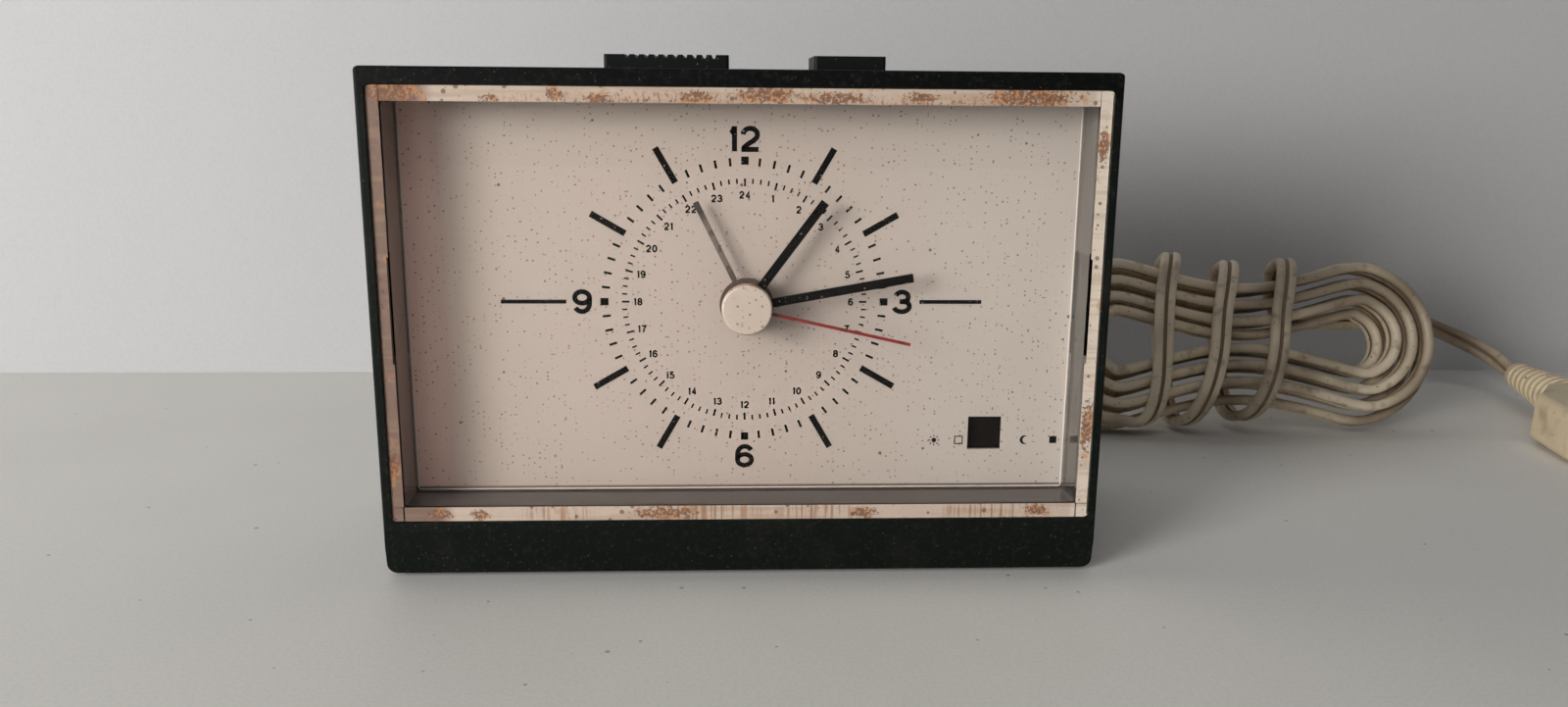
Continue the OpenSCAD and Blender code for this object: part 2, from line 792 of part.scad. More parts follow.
module centre_wheel() {
    color([0.75, 0.6, 0.3]) difference() {
        union() {
            slab(centre_plane, centre_plane + wheel_t) gear(centre_teeth, centre_m, centre_phase, main_at);
            bar(main_at, hub_r, centre_plane - open_gap, centre_plane + wheel_t + open_gap);
        }
        bar(main_at, seconds_r + run_gap, 0, case_d);
    }
}

module second_reduction_wheel() {
    color([0.9, 0.88, 0.8]) {
        bar(second_red_at, arbor_r, front_plate_d, rear_plate_back);
        slab(seconds_plane, seconds_plane + wheel_t)
            gear(pinion_teeth, train_m, second_red_pinion_phase, second_red_at);
        slab(second_red_plane, second_red_plane + wheel_t)
            gear(second_red_teeth, train_m, second_red_phase, second_red_at);
    }
}

module first_reduction_wheel() {
    color([0.9, 0.88, 0.8]) {
        bar(first_red_at, arbor_r, front_plate_d, rear_plate_back);
        slab(second_red_plane, second_red_plane + wheel_t)
            gear(pinion_teeth, train_m, first_red_pinion_phase, first_red_at);
        slab(first_red_plane, first_red_plane + wheel_t)
            gear(first_red_teeth, rotor_m, first_red_phase, first_red_at);
    }
}

module rotor() {
    color([0.35, 0.35, 0.38]) {
        bar(rotor_at, arbor_r, front_plate_d, rear_plate_back);
        slab(first_red_plane, first_red_plane + wheel_t) gear(pinion_teeth, rotor_m, rotor_phase, rotor_at);
        bar(rotor_at, rotor_r, rotor_d0, rotor_d0 + rotor_len);
    }
}

// Motor

module stator_core() {
    x0 = rotor_at[0] - core_half;
    x1 = rotor_at[0] + core_half;
    z0 = coil_z - core_w / 2;
    z1 = rotor_at[1] + pole_h / 2;
    color([0.45, 0.45, 0.47]) {
        slab(rotor_d0, rotor_d0 + core_t) difference() {
            even_rect([x0 - core_w / 2, x1 + core_w / 2], [z0, z1], 1);
            even_rect([x0 + core_w / 2, x1 - core_w / 2], [z0 + core_w, z1 - pole_h], 1);
            translate(rotor_at) circle(rotor_r + air_gap, $fn = 72);
            translate(rotor_at) square([pole_gap, pole_h + 2], center = true);
        }
        for (x = [x0, x1]) bar([x, z1 - pole_h / 2], core_stud_r, rotor_d0 + core_t, rear_plate_d);
    }
}

module coil_bobbin() {
    hole = core_w + 2 * slip_gap;
    cx = rotor_at[0];
    color([0.9, 0.88, 0.8]) difference() {
        union() {
            translate([cx - coil_half, front_y + rotor_d0 + core_t / 2, coil_z]) rotate([0, 90, 0])
                cylinder(h = 2 * coil_half, r = spool_r, $fn = 48);
            for (x = [cx - coil_half, cx + coil_half - bobbin_wall])
                translate([x, front_y + rotor_d0 + core_t / 2, coil_z]) rotate([0, 90, 0])
                    cylinder(h = bobbin_wall, r = coil_r, $fn = 48);
        }
        translate([cx, front_y + rotor_d0 + core_t / 2, coil_z])
            cube([2 * (coil_half + cut), hole, hole], center = true);
    }
}

module coil_winding() {
    h = 2 * (coil_half - bobbin_wall);
    color([0.6, 0.3, 0.15]) translate([rotor_at[0] - h / 2, front_y + rotor_d0 + core_t / 2, coil_z])
        rotate([0, 90, 0]) difference() {
            cylinder(h = h, r = winding_r, $fn = 48);
            translate([0, 0, -cut]) cylinder(h = h + 2 * cut, r = spool_r, $fn = 48);
        }
}

module buzzer_reed() {
    reed_z = coil_z - coil_r - reed_drop;
    x0 = rotor_at[0] - core_half - reed_tail;
    x1 = rotor_at[0] + core_half + core_w / 2;
    color([0.5, 0.5, 0.52]) {
        slab(rotor_d0, rotor_d0 + core_t) {
            translate([x0, reed_z - reed_t]) square([x1 - x0, reed_t]);
            translate([x1 - core_w, reed_z - reed_t])
                square([core_w, coil_z - core_w / 2 - reed_gap - reed_z + reed_t]);
        }
        slab(rotor_d0, rear_plate_d) translate([x0, reed_z - reed_t]) square(reed_pad + [0, reed_t]);
    }
}

// Buttons

module button_body(at, w, stems) {
    y0 = front_y + at[1] - button_d / 2;
    y1 = y0 + button_d;
    x0 = at[0] - w / 2;
    translate([0, 0, flange_z1 - lap]) linear_extrude(button_z1 - flange_z1 + lap)
        even_rect([x0, x0 + w], [y0, y1], button_corner_r);
    translate([0, 0, flange_z0]) linear_extrude(flange_t)
        even_rect([x0 - flange_w, x0 + w + flange_w], [front_y + flange_d0, y1 + flange_w], inner_r);
    for (x = stems) translate([x, front_y + at[1], stem_end_z])
        cylinder(h = flange_z0 - stem_end_z + lap, r = stem_r, $fn = 48);
}

module ribbed_bar() {
    x0 = bar_at[0] + groove_shift - (groove_count - 1) * groove_pitch / 2;
    y1 = front_y + bar_at[1] + button_d / 2 + cut;
    color([0.05, 0.05, 0.05]) difference() {
        button_body(bar_at, bar_w, bar_stems);
        for (k = [0 : groove_count - 1]) translate([x0 + k * groove_pitch, y1, button_z1]) rotate([90, 0, 0])
            linear_extrude(button_d + 2 * cut) polygon([
                [-groove_w / 2 - lap, lap], [-groove_w / 2, 0], [-groove_w / 4, -groove_depth],
                [groove_w / 4, -groove_depth], [groove_w / 2, 0], [groove_w / 2 + lap, lap]
            ]);
    }
}

module small_button() {
    color([0.05, 0.05, 0.05]) button_body(small_at, knob_button_w, [small_at[0]]);
}

// A coil spring as one tube along a helix, its ends flattened towards the seats
module spring(at, z0, z1) {
    rings = 10 * spring_turns;
    pts = [for (k = [0 : rings])
        [spring_r * cos(k * 36), spring_r * sin(k * 36),
            z0 + spring_wire + (z1 - z0 - 2 * spring_wire) * k / rings]];
    translate([at[0], front_y + at[1], 0]) tube(pts, [for (p = pts) [0, 0, 1]], spring_wire, spring_wire, 6);
}

module bar_springs() {
    color([0.7, 0.7, 0.7]) for (x = bar_stems) spring([x, bar_at[1]], bridge_z + bridge_t, flange_z0);
}
module button_spring() {
    color([0.7, 0.7, 0.7]) spring(small_at, bridge_z + bridge_t, flange_z0);
}

module button_bridge() {
    y0 = front_y + front_plate_d - plate_t;
    ear_z0 = plate_z[1] - ear_lap;
    color([0.6, 0.6, 0.6]) difference() {
        union() {
            translate([plate_x[0], y0, bridge_z]) cube([plate_x[1] - plate_x[0], bridge_d, bridge_t]);
            for (x = [plate_x[0] + ear_in, plate_x[1] - ear_in - ear_w])
                translate([x, y0, ear_z0]) cube([ear_w, plate_t, bridge_z - ear_z0 + lap]);
        }
        for (x = [bar_stems[0], bar_stems[1], small_at[0]])
            translate([x, front_y + bar_at[1], bridge_z - cut])
                cylinder(h = bridge_t + 2 * cut, r = stem_r + slip_gap, $fn = 48);
    }
}

// Lead, hank and plug

// One closed tube along the points p: half its size along each wide direction is a, across it b
function unit(v) = v / norm(v);
function tangent(p, k) = unit(p[min(k + 1, len(p) - 1)] - p[max(k - 1, 0)]);
function frame_at(p, wide, k) =
    let (t = tangent(p, k), u = unit(wide[k] - (wide[k] * t) * t)) [u, cross(t, u)];
module tube(p, wide, a, b, n) {
    m = len(p);
    rings = [
        for (k = [0 : m - 1]) let (f = frame_at(p, wide, k))
        for (j = [0 : n - 1]) p[k] + a * cos(j * 360 / n) * f[0] + b * sin(j * 360 / n) * f[1]
    ];
    sides = [
        for (k = [0 : m - 2]) for (j = [0 : n - 1]) let (i = (j + 1) % n)
        each [[k * n + j, k * n + n + j, k * n + i], [k * n + i, k * n + n + j, k * n + n + i]]
    ];
    ends = [
        for (j = [0 : n - 1]) let (i = (j + 1) % n)
        each [[m * n, j, i], [m * n + 1, (m - 1) * n + i, (m - 1) * n + j]]
    ];
    polyhedron(concat(rings, [p[0], p[m - 1]]), concat(sides, ends), convexity = 10);
}

module cord_gland() {
    neck_d = cover_d0 - gland_lip_t;
    collar_z = gland_lip_t + cover_t;
    color([0.12, 0.12, 0.12]) translate([gland_at[0], front_y + neck_d, gland_at[1]]) rotate([-90, 0, 0])
        rotate_extrude($fn = 48) polygon([
            [0, 0], [gland_neck_r + gland_lip, 0], [gland_neck_r + gland_lip, gland_lip_t],
            [gland_neck_r, gland_lip_t], [gland_neck_r, collar_z], [gland_neck_r + gland_collar, collar_z],
            [gland_neck_r + gland_collar, collar_z + gland_collar],
            [gland_neck_r + gland_lip / 2, collar_z + 1.5 * gland_collar],
            [gland_neck_r, collar_z + gland_len], [0, collar_z + gland_len]
        ]);
}

// Hank: the lead wound in long loops, two layers deep, then wrapped round the waist of the loops
hank_x = 145;
hank_d = 109;
hank_run = 35;
hank_in_r = 8.4;
hank_step = 4.8;
hank_draw = 6.5;
draw_ramp = 26;
hank_lean = 20;
layers = 2;
layer_turns = 3.5;
half_climb = 0.25;
loop_rings = 24;
run_share = 5 / 48;
layer_step = cord_w + 0.6;
hank_out_r = hank_in_r + (layer_turns - half_climb) * hank_step;
hank_side = (layers - 1) / 2 * layer_step;
hank_z = (hank_out_r + cord_t / 2) * cos(hank_lean) + (hank_side + cord_w / 2) * sin(hank_lean);
wrap_rings = 24;
wrap_pitch = 17;
wrap_u0 = -30.5;
wrap_slant = 3;
wrap_side = 12;
wrap_room = 4.6;
wrap_power = 0.7;
wrap_on = 115;
wrap_off = 940;
wrap_end = 1000;
exit_v = 8;
exit_u = 36;

function smooth(x) = let (c = max(0, min(1, x))) c * c * (3 - 2 * c);
// Radius of the loops at turn t: in and out again, level where the lead climbs to the next layer
function loop_r(t) =
    let (
        x = t - 2 * layer_turns * floor(t / (2 * layer_turns)),
        f = max(0, abs(x - layer_turns) - half_climb),
        outside = t < layer_turns || t > (layers - 1) * layer_turns
    )
    hank_in_r + hank_step * (outside ? f : min(f, layer_turns - 2 * half_climb));
// Place across the layers at turn t: each climb lies along a run
function loop_w(t, k = 1) =
    k == layers ? -hank_side
    : layer_step * smooth((t - k * layer_turns) / (2 * run_share) + 0.5) + loop_w(t, k + 1);
function draw_at(u) = hank_draw * smooth((hank_run - abs(u)) / draw_ramp);
// A point of the loops: along the hank, up its plane, across its layers
function loop_point(t) =
    let (f = t - floor(t), r = loop_r(max(0, t)), w = loop_w(t), s = run_share, fold = 180 / (0.5 - 2 * s))
    f < s ? let (u = f / s * hank_run) [u, draw_at(u) - r, w]
    : f < 0.5 - s ? let (q = (f - s) * fold - 90) [hank_run + r * cos(q), r * sin(q), w]
    : f < 0.5 + s ? let (u = (0.5 - f) / s * hank_run) [u, r - draw_at(u), w]
    : f < 1 - s ? let (q = 90 + (f - 0.5 - s) * fold) [r * cos(q) - hank_run, r * sin(q), w]
    : let (u = (f - 1) / s * hank_run) [u, draw_at(u) - r, w];
// A point of the wraps, q degrees round the waist from its underside, and the way out from it
function bent(x) = sign(x) * pow(abs(x), wrap_power);
function wrap_u(q) = wrap_u0 + wrap_pitch * q / 360 - wrap_slant * cos(q);
function wrap_h(u) = hank_out_r - draw_at(u) + wrap_room;
function wrap_point(q) = [wrap_u(q), -wrap_h(wrap_u(q)) * bent(cos(q)), wrap_side * bent(sin(q))];
function wrap_out(q) = [0, -cos(q), sin(q)];
function mix(a, b, s) = a + (b - a) * smooth(s);

first_t = -run_share;
last_t = layers * layer_turns - run_share;
loop_count = round((last_t - first_t) * loop_rings);
on_rings = 10;
on_reach = 20;
off_rings = 10;
loops = [for (k = [0 : loop_count]) loop_point(first_t + (last_t - first_t) * k / loop_count)];
run_on = [for (k = [1 : on_rings]) let (
    s = k / on_rings, u = on_reach * s - hank_run, r = hank_out_r - draw_at(u), q = wrap_on * s
) mix([u, -r, hank_side], wrap_point(q), s)];
wraps = [for (q = [wrap_on + 360 / wrap_rings : 360 / wrap_rings : wrap_off]) wrap_point(q)];
exit_start = 17;
exit_reach = 12;
run_out = [for (k = [1 : off_rings]) let (s = k / off_rings, q = wrap_off + (wrap_end - wrap_off) * s)
    mix(wrap_point(q), [exit_start + exit_reach * s, exit_v, -wrap_side], s)];
exit_straight = 5;
exit_run = [for (u = [exit_u - exit_straight, exit_u]) [u, exit_v, -wrap_side]];
entry_reach = 11;
entry_straight = 6;
entry_run = [for (u = [entry_reach, entry_reach - entry_straight]) [-hank_run - u, -hank_out_r, -hank_side]];
hank_local = concat(entry_run, loops, run_on, wraps, run_out, exit_run);
hank_out = concat(
    [for (k = [0 : len(loops) + 1]) [0, 0, 0]],
    [for (k = [1 : on_rings]) unit(mix([0, -1, 0], wrap_out(wrap_on * k / on_rings), k / on_rings))],
    [for (q = [wrap_on + 360 / wrap_rings : 360 / wrap_rings : wrap_off]) wrap_out(q)],
    [for (k = [1 : off_rings]) let (s = k / off_rings)
        unit(mix(wrap_out(wrap_off + (wrap_end - wrap_off) * s), [0, 0, -1], s))],
    [for (p = exit_run) [0, 0, -1]]
);
function turned(p) = [
    p[0], p[1] * sin(hank_lean) - p[2] * cos(hank_lean), p[1] * cos(hank_lean) + p[2] * sin(hank_lean)
];
hank_route = [for (p = hank_local) [hank_x, hank_d, hank_z] + turned(p)];
hank_wide = [for (k = [0 : len(hank_local) - 1])
    turned(norm(hank_out[k]) == 0 ? [0, 0, 1] : cross(hank_out[k], tangent(hank_local, k)))];

// Half the size of the section in direction e
function reach(f, e) = norm([cord_w / 2 * (f[0] * e), cord_t / 2 * (f[1] * e)]);
// The least gap between stretches of the hank that are not neighbours, with points between the rings
gap_search = 9;
function hank_gap() =
    let (
        sub = 3,
        n = len(hank_route),
        f = [for (k = [0 : n - 1]) frame_at(hank_route, hank_wide, k)],
        fine = [for (k = [0 : n - 2]) for (s = [0 : sub - 1]) let (x = s / sub)
            [hank_route[k] * (1 - x) + hank_route[k + 1] * x, f[k][0] * (1 - x) + f[k + 1][0] * x,
                f[k][1] * (1 - x) + f[k + 1][1] * x]],
        m = len(fine)
    )
    min([for (i = [0 : m - 1]) for (j = [i + 3 * sub : 1 : m - 1])
        let (d = fine[j][0] - fine[i][0], l = norm(d))
        if (l < gap_search) l - reach([fine[i][1], fine[i][2]], d / l) - reach([fine[j][1], fine[j][2]], d / l)]);
hank_lead_in = 9;
function route_length(p) =
    let (n = len(p)) [for (k = [1 : n - 1]) norm(p[k] - p[k - 1])] * [for (k = [1 : n - 1]) 1];

// Lead from the gland to the hank: it lies flat and comes down to the shelf
lead_start = [gland_at[0], gland_out_d, gland_at[1]];
lead_route = concat([lead_start, lead_start + [0, cord_w, 0]], [
    [50.8, 91.4, 11.3], [52.6, 94.9, 10.3], [55.3, 98, 8.9], [58.8, 100.6, 7.3], [63, 102.4, 5.7],
    [67.8, 103.4, 4.2], [73, 103.7, 3.1], [78.5, 103.7, 2.5], [84, 103.7, 2.3]
], [hank_route[0] - [hank_lead_in, 0, 0], hank_route[0]]);
lead_up = turned([0, 1, 0]);
lead_wide = [for (k = [0 : len(lead_route) - 1])
    cross(tangent(lead_route, k), mix([0, 0, 1], lead_up, k / (len(lead_route) - 1)))];

// Tail from the hank to the plug: it leaves behind the hank, arches over and turns to the front
tail_end = [248, 132, 9.8];
tail_start = hank_route[len(hank_route) - 1];
tail_route = concat([tail_start, tail_start + [cord_w, 0, 0]], [
    [192.8, 124.3, 29.7], [199, 126.9, 30], [205, 131.2, 29.6], [210.2, 136.8, 28.8], [215, 142.6, 27.5],
    [219.1, 147, 26], [223.7, 150.8, 24.2], [229, 153.5, 22.1], [235, 154.5, 19.7], [240.8, 153.1, 17.2],
    [245.5, 149.4, 14.7], [248.4, 144.1, 12.2], [248.91, 137.72, 10.04]
], [tail_end]);
tail_wide = [for (k = [0 : len(tail_route) - 1])
    mix(-lead_up, cross(tangent(tail_route, k), [0, 0, 1]), k / (len(tail_route) - 1))];

module cord_lead() {
    color([0.72, 0.68, 0.58]) translate([0, front_y, 0])
        tube(lead_route, lead_wide, cord_w / 2, cord_t / 2, 8);
}

module cord_hank() {
    echo(rings = len(hank_route), length = route_length(hank_route), least_gap = hank_gap());
    echo(start = hank_route[0], end = hank_route[len(hank_route) - 1]);
    color([0.72, 0.68, 0.58]) translate([0, front_y, 0])
        tube(hank_route, hank_wide, cord_w / 2, cord_t / 2, 6);
}

module cord_tail() {
    echo(lead = route_length(lead_route), tail = route_length(tail_route));
    color([0.72, 0.68, 0.58]) translate([0, front_y, 0])
        tube(tail_route, tail_wide, cord_w / 2, cord_t / 2, 8);
}

// Plug, drawn along its own axis from the thin end of its relief
plug_heading = -99;
plug_tilt = 2.4;
relief_len = 34;
relief_r0 = 4;
relief_r1 = 7;
relief_ribs = 9;
rib_depth = 0.7;
groove_top = 1.8;
groove_root = 1.2;
plug_len = 34;
plug_w = 35;
plug_t = 13.4;
plug_neck_w = 16;
plug_shoulder = 10;
plug_edge_r = 3;
plug_chamfer = 1;
pin_len = 19;
pin_r = 2;
pin_spacing = 19;
module on_plug() {
    translate([tail_end[0], front_y + tail_end[1], tail_end[2]])
        rotate([0, plug_tilt, plug_heading]) children();
}

module plug_relief() {
    pitch = relief_len / (relief_ribs + 1);
    function relief_r(x) = relief_r0 + (relief_r1 - relief_r0) * x / relief_len;
    color([0.78, 0.72, 0.6]) on_plug() rotate([0, 90, 0]) rotate_extrude($fn = 48) polygon(concat(
        [[0, 0], [relief_r0, 0]],
        [for (k = [1 : relief_ribs]) let (x = k * pitch, r = relief_r(x) - rib_depth) each [
            [relief_r(x - groove_top / 2), x - groove_top / 2], [r, x - groove_root / 2],
            [r, x + groove_root / 2], [relief_r(x + groove_top / 2), x + groove_top / 2]
        ]],
        [[relief_r1, relief_len], [0, relief_len]]
    ));
}

module plug_body() {
    x0 = relief_len;
    x1 = relief_len + plug_len;
    w = plug_w / 2;
    t = plug_t / 2;
    n = plug_neck_w / 2;
    color([0.82, 0.77, 0.66]) on_plug() intersection() {
        translate([0, 0, -t]) linear_extrude(plug_t) union() {
            polygon([
                [x0, -n], [x0 + plug_shoulder, plug_edge_r - w], [x0 + plug_shoulder + plug_edge_r, -w],
                [x1 - plug_edge_r, -w], [x1, plug_edge_r - w], [x1, w - plug_edge_r], [x1 - plug_edge_r, w],
                [x0 + plug_shoulder + plug_edge_r, w], [x0 + plug_shoulder, w - plug_edge_r], [x0, n]
            ]);
            for (s = [-1, 1])
                translate([x1 - plug_edge_r, s * (w - plug_edge_r)]) circle(plug_edge_r, $fn = 48);
        }
        rotate([90, 0, 0]) translate([0, 0, -w]) linear_extrude(plug_w) polygon([
            [x0, -t], [x1 - plug_chamfer, -t], [x1, plug_chamfer - t], [x1, t - plug_chamfer],
            [x1 - plug_chamfer, t], [x0, t]
        ]);
        rotate([90, 0, 90]) linear_extrude(x1 + cut) even_rect([-w, w], [-t, t], plug_edge_r);
    }
}

module plug_pins() {
    color([0.75, 0.72, 0.65]) on_plug() for (s = [-1, 1])
        translate([relief_len + plug_len, s * pin_spacing / 2, 0]) rotate([0, 90, 0]) union() {
            cylinder(h = pin_len - pin_r / 2, r = pin_r, $fn = 48);
            cylinder(h = pin_len, r = pin_r / 2, $fn = 48);
        }
}

case_shell();
lens();
dial_plate();
rear_cover();
cover_screws();
rubber_feet();
hour_hand();
minute_hand();
second_hand();
alarm_hand();
centre_cap();
ribbed_bar();
small_button();
bar_springs();
button_spring();
button_bridge();
front_plate();
rear_plate();
pillars();
dial_posts();
cannon_pinion();
minute_wheel();
hour_wheel();
alarm_wheel();
alarm_shaft();
alarm_knob();
time_shaft();
time_knob();
day_idler();
day_wheel();
day_night_disc();
seconds_wheel();
third_wheel();
centre_wheel();
second_reduction_wheel();
first_reduction_wheel();
rotor();
stator_core();
coil_bobbin();
coil_winding();
buzzer_reed();
cord_gland();
cord_lead();
cord_hank();
cord_tail();
plug_relief();
plug_body();
plug_pins();
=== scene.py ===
from math import cos, floor, pi, radians, sin

import bpy
from mathutils import Matrix, Vector


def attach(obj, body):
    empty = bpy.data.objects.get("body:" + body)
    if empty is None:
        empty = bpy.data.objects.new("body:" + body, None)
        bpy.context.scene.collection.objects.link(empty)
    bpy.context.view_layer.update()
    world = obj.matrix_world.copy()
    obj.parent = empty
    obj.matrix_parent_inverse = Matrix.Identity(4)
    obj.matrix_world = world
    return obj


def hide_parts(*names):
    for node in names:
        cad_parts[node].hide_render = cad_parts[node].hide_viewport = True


bl_info = {
    "name": "Mains Alarm Clock",
    "version": (1, 0, 0),
    "blender": (4, 5, 0),
    "location": "View3D > Sidebar > Clock",
    "description": "Dresses the packed alarm clock: case, box lens, printed dial, hands, keys, lead and plug",
    "category": "Object",
}

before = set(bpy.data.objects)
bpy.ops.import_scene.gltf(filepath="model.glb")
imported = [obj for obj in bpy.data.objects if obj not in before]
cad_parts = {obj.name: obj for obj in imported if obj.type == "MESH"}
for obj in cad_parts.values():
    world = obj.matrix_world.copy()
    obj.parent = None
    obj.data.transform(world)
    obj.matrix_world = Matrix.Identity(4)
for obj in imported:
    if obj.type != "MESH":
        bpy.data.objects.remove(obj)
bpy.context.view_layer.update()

MM = 0.001

# The camera: metres, radians from level along Y, and millimetres for its sensor and its focal length
CAMERA_AT = (-0.002399, -0.256833, 0.09496)
CAMERA_YAW = 0.045405
CAMERA_PITCH = 0.215737
CAMERA_ROLL = 0.008715
CAMERA_SENSOR = 36
CAMERA_FOCAL_LENGTH = 27.045
CAMERA_NEAR = 0.01

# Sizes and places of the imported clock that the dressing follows, in millimetres
FRONT_Y = -34.0
DIAL_DEPTH = 12.0
DIAL_Y = FRONT_Y + DIAL_DEPTH
DIAL_MIDDLE = (0.23, 54.25)
HAND_AXIS = (0.6, 54.1)
DAY_DISC_X = 37.0
LENS_HALF_WIDTH = 69.35
LENS_FOOT = 12.1
LENS_TOP = 96.26
LENS_SIDE_WALL = 2.5
LENS_FLAT_WALL = 2.9
LENS_INNER_X = LENS_HALF_WIDTH - LENS_SIDE_WALL
LENS_INNER_FOOT = LENS_FOOT + LENS_FLAT_WALL
LENS_INNER_TOP = LENS_TOP - LENS_FLAT_WALL
TAB_HALF_HEIGHT = 10.3
TAB_FOOT = (LENS_FOOT + LENS_TOP) / 2 - TAB_HALF_HEIGHT
TAB_TOP = (LENS_FOOT + LENS_TOP) / 2 + TAB_HALF_HEIGHT

# Thin strips in the lens walls, in millimetres: the dial's margin as carried to the front, sheets of painted
# light along the sides, and painted highlight lines at the edges
STRIP_GAP = 0.12
STRIP_SEAM = 0.3
STRIP_TAB_GAP = 0.45
STRIP_NEAR = FRONT_Y + 0.6
STRIP_FAR = FRONT_Y + 0.7
STRIP_X = LENS_HALF_WIDTH - STRIP_GAP
STRIP_FOOT = LENS_FOOT + STRIP_GAP
STRIP_TOP = LENS_TOP - STRIP_GAP
SIDE_LIGHT_THICK = 0.1
SIDE_LIGHT_NEAR = FRONT_Y + 1.0
SIDE_LIGHT_FAR = DIAL_Y - 0.2
EDGE_WIDE = 0.2
EDGE_NEAR = DIAL_Y - 0.12
EDGE_FAR = DIAL_Y - 0.02

# What is printed on the dial, in millimetres from its middle: a tick is its two ends and its width,
# and a sweep is in degrees
QUARTER_MARK = (27.3, 28.9, 1.5)
HOUR_BAR = (27.4, 35.2)
LEFT_BAR = (-48.69, -35.71)
RIGHT_BAR = (35.41, 48.07)
MINUTE_TICK = (27.1, 28.7, 0.48)
WHOLE_HOUR_TICK = (23.1, 24.6, 0.4)
QUARTER_HOUR_TICK = (23.6, 24.6, 0.32)
DAY_NUMERAL_RADIUS = 21.4
LARGE_NUMERALS = (("12", (-0.15, 32.3)), ("3", (31.95, 0)), ("6", (0, -32.35)), ("9", (-32.55, 0)))
MARKS_Z = -29.15
SUN_X = 39.4
SUN_RADIUS = 0.5
SUN_RAY = (0.75, 1.15)
SUN_RAYS = 8
DAY_BOX_X = 44.55
DAY_BOX_HALF = 0.8
DAY_BOX_STROKE = 0.22
MOON_X = 58.4
MOON_RADIUS = 0.95
MOON_HOLLOW_X = 58.82
MOON_HOLLOW_RADIUS = 0.76
MOON_SWEEP = (50, 310)
MOON_HOLLOW_SWEEP = (75, 285)
MOON_STEPS = 20
NIGHT_BOX = (63.7, 65.2)
MARK_STROKE = 0.2

# The floor, the wall behind the clock and the light from all round, in metres and in strength
FLOOR_NEAR_Y = -1.4
FLOOR_FAR_Y = 1.6
WALL_Y = 0.147
WALL_TOP = 1.3
STAGE_HALF_WIDTH = 1.6
SKY_COLOUR = (0.97, 0.98, 1.0, 1.0)
SKY_FAINT = 0.02
SKY_SEEN = 0.22

# Rust and wear on the dial's margin: X, Z and two half sizes, in millimetres
MARGIN_RUST = (
    (-64.5, 94.8, 8.0, 3.0), (-47, 94.0, 3.0, 1.2), (-35, 94.8, 2.5, 2.0), (-27, 94.0, 4.0, 1.6),
    (-9, 94.6, 5.0, 1.8), (4, 95.0, 9.0, 2.4), (17, 94.4, 9.0, 1.8), (33, 94.8, 5.0, 1.4),
    (54, 94.9, 13.0, 2.8), (-60, 13.6, 4.0, 1.6), (-52, 13.4, 3.0, 1.6), (-16, 13.6, 10.0, 2.0),
    (24, 13.4, 4.0, 1.8), (59, 13.6, 4.0, 1.8), (68.2, 31, 1.8, 9.0), (68.0, 86, 1.8, 5.0),
    (-68.3, 24, 1.6, 5.0),
)
MARGIN_FOXING = ((-14, 93.8, 44.0, 2.2), (6, 93.8, 30.0, 2.4), (36, 93.4, 32.0, 1.8))
MARGIN_WEAR = ((-37, 13.6, 9.0, 3.0), (-8, 13.6, 16.0, 4.0), (15, 13.6, 12.0, 3.0), (50, 13.6, 14.0, 3.0))

# Where tones begin and end along X, along Z or out from the hands' axis, in millimetres
MARGIN_LIT_X = (65.5, 66.5)
MARGIN_SHADED_X = (-60.5, -56.5)
DIAL_LIT_X = (0.0, 66.0)
DIAL_SHADED_X = (-57.0, -46.0)
DIAL_RIM_LIGHT_X = (-64.5, -56.0)
DIAL_DIRT_Z = (LENS_INNER_FOOT + 0.5, LENS_INNER_FOOT + 0.9)
CASE_BROW_SHADE_Z = (90.0, 96.0)
TAIL_DARK_X = (187.0, 200.0)
ALARM_TIP_RADIUS = (17.0, 21.0)
ALARM_BOSS_RADIUS = 6.0
CAP_RIM_RADIUS = 4.8

# Tones of light, wear and dirt that are laid over the main colours
CASE_SMEAR = (0.03, 0.027, 0.021)
CASE_BROW_SHADE = (0.001, 0.0016, 0.0014)
CASE_GRAIN = (0.02, 0.021, 0.018)
CASE_DUST = (0.13, 0.105, 0.07)
KEY_DUST = (0.16, 0.13, 0.09)
RUBBER_DUST = (0.06, 0.055, 0.045)
NYLON_AGE = (0.5, 0.44, 0.32)
MARGIN_LIT = (0.56, 0.49, 0.415)
MARGIN_SHADED = (0.14, 0.075, 0.053)
MARGIN_STREAK = (0.3, 0.2, 0.13)
MARGIN_BAR = (0.24, 0.11, 0.05)
MARGIN_FOX = (0.36, 0.22, 0.13)
MARGIN_DASH = (0.2, 0.08, 0.03)
MARGIN_STAIN = (0.42, 0.195, 0.075)
MARGIN_GRAIN = (0.13, 0.05, 0.02)
MARGIN_SPECK = (0.1, 0.05, 0.025)
SIDE_LIGHT_RIGHT = (0.105, 0.096, 0.088)
SIDE_LIGHT_FOOT = (0.1, 0.083, 0.078)
DIAL_LIT = (0.37, 0.333, 0.305)
DIAL_SHADED = (0.27, 0.212, 0.182)
DIAL_RIM_LIGHT = (0.68, 0.46, 0.39)
DIAL_BLOTCH = (0.3, 0.2, 0.14)
DIAL_FINE_SPECK = (0.13, 0.08, 0.05)
DIAL_SPECK = (0.14, 0.09, 0.06)
DIAL_DARK_SPECK = (0.06, 0.035, 0.022)
DIAL_DIRT = (0.07, 0.04, 0.033)
NIGHT_HALF = (0.0045, 0.0028, 0.0024)
INK_CHIP = (0.3, 0.24, 0.19)
HAND_CHIP = (0.3, 0.24, 0.18)
SECONDS_WEAR = (0.03, 0.006, 0.005)
ALARM_WEAR = (0.03, 0.018, 0.012)
ALARM_TIP = (0.02, 0.013, 0.01)
ALARM_BOSS = (0.06, 0.035, 0.025)
FLOOR_CLOUD = (0.5, 0.48, 0.44)
FLOOR_GRAIN = (0.4, 0.39, 0.37)
FLOOR_CRUMB = (0.16, 0.14, 0.12)
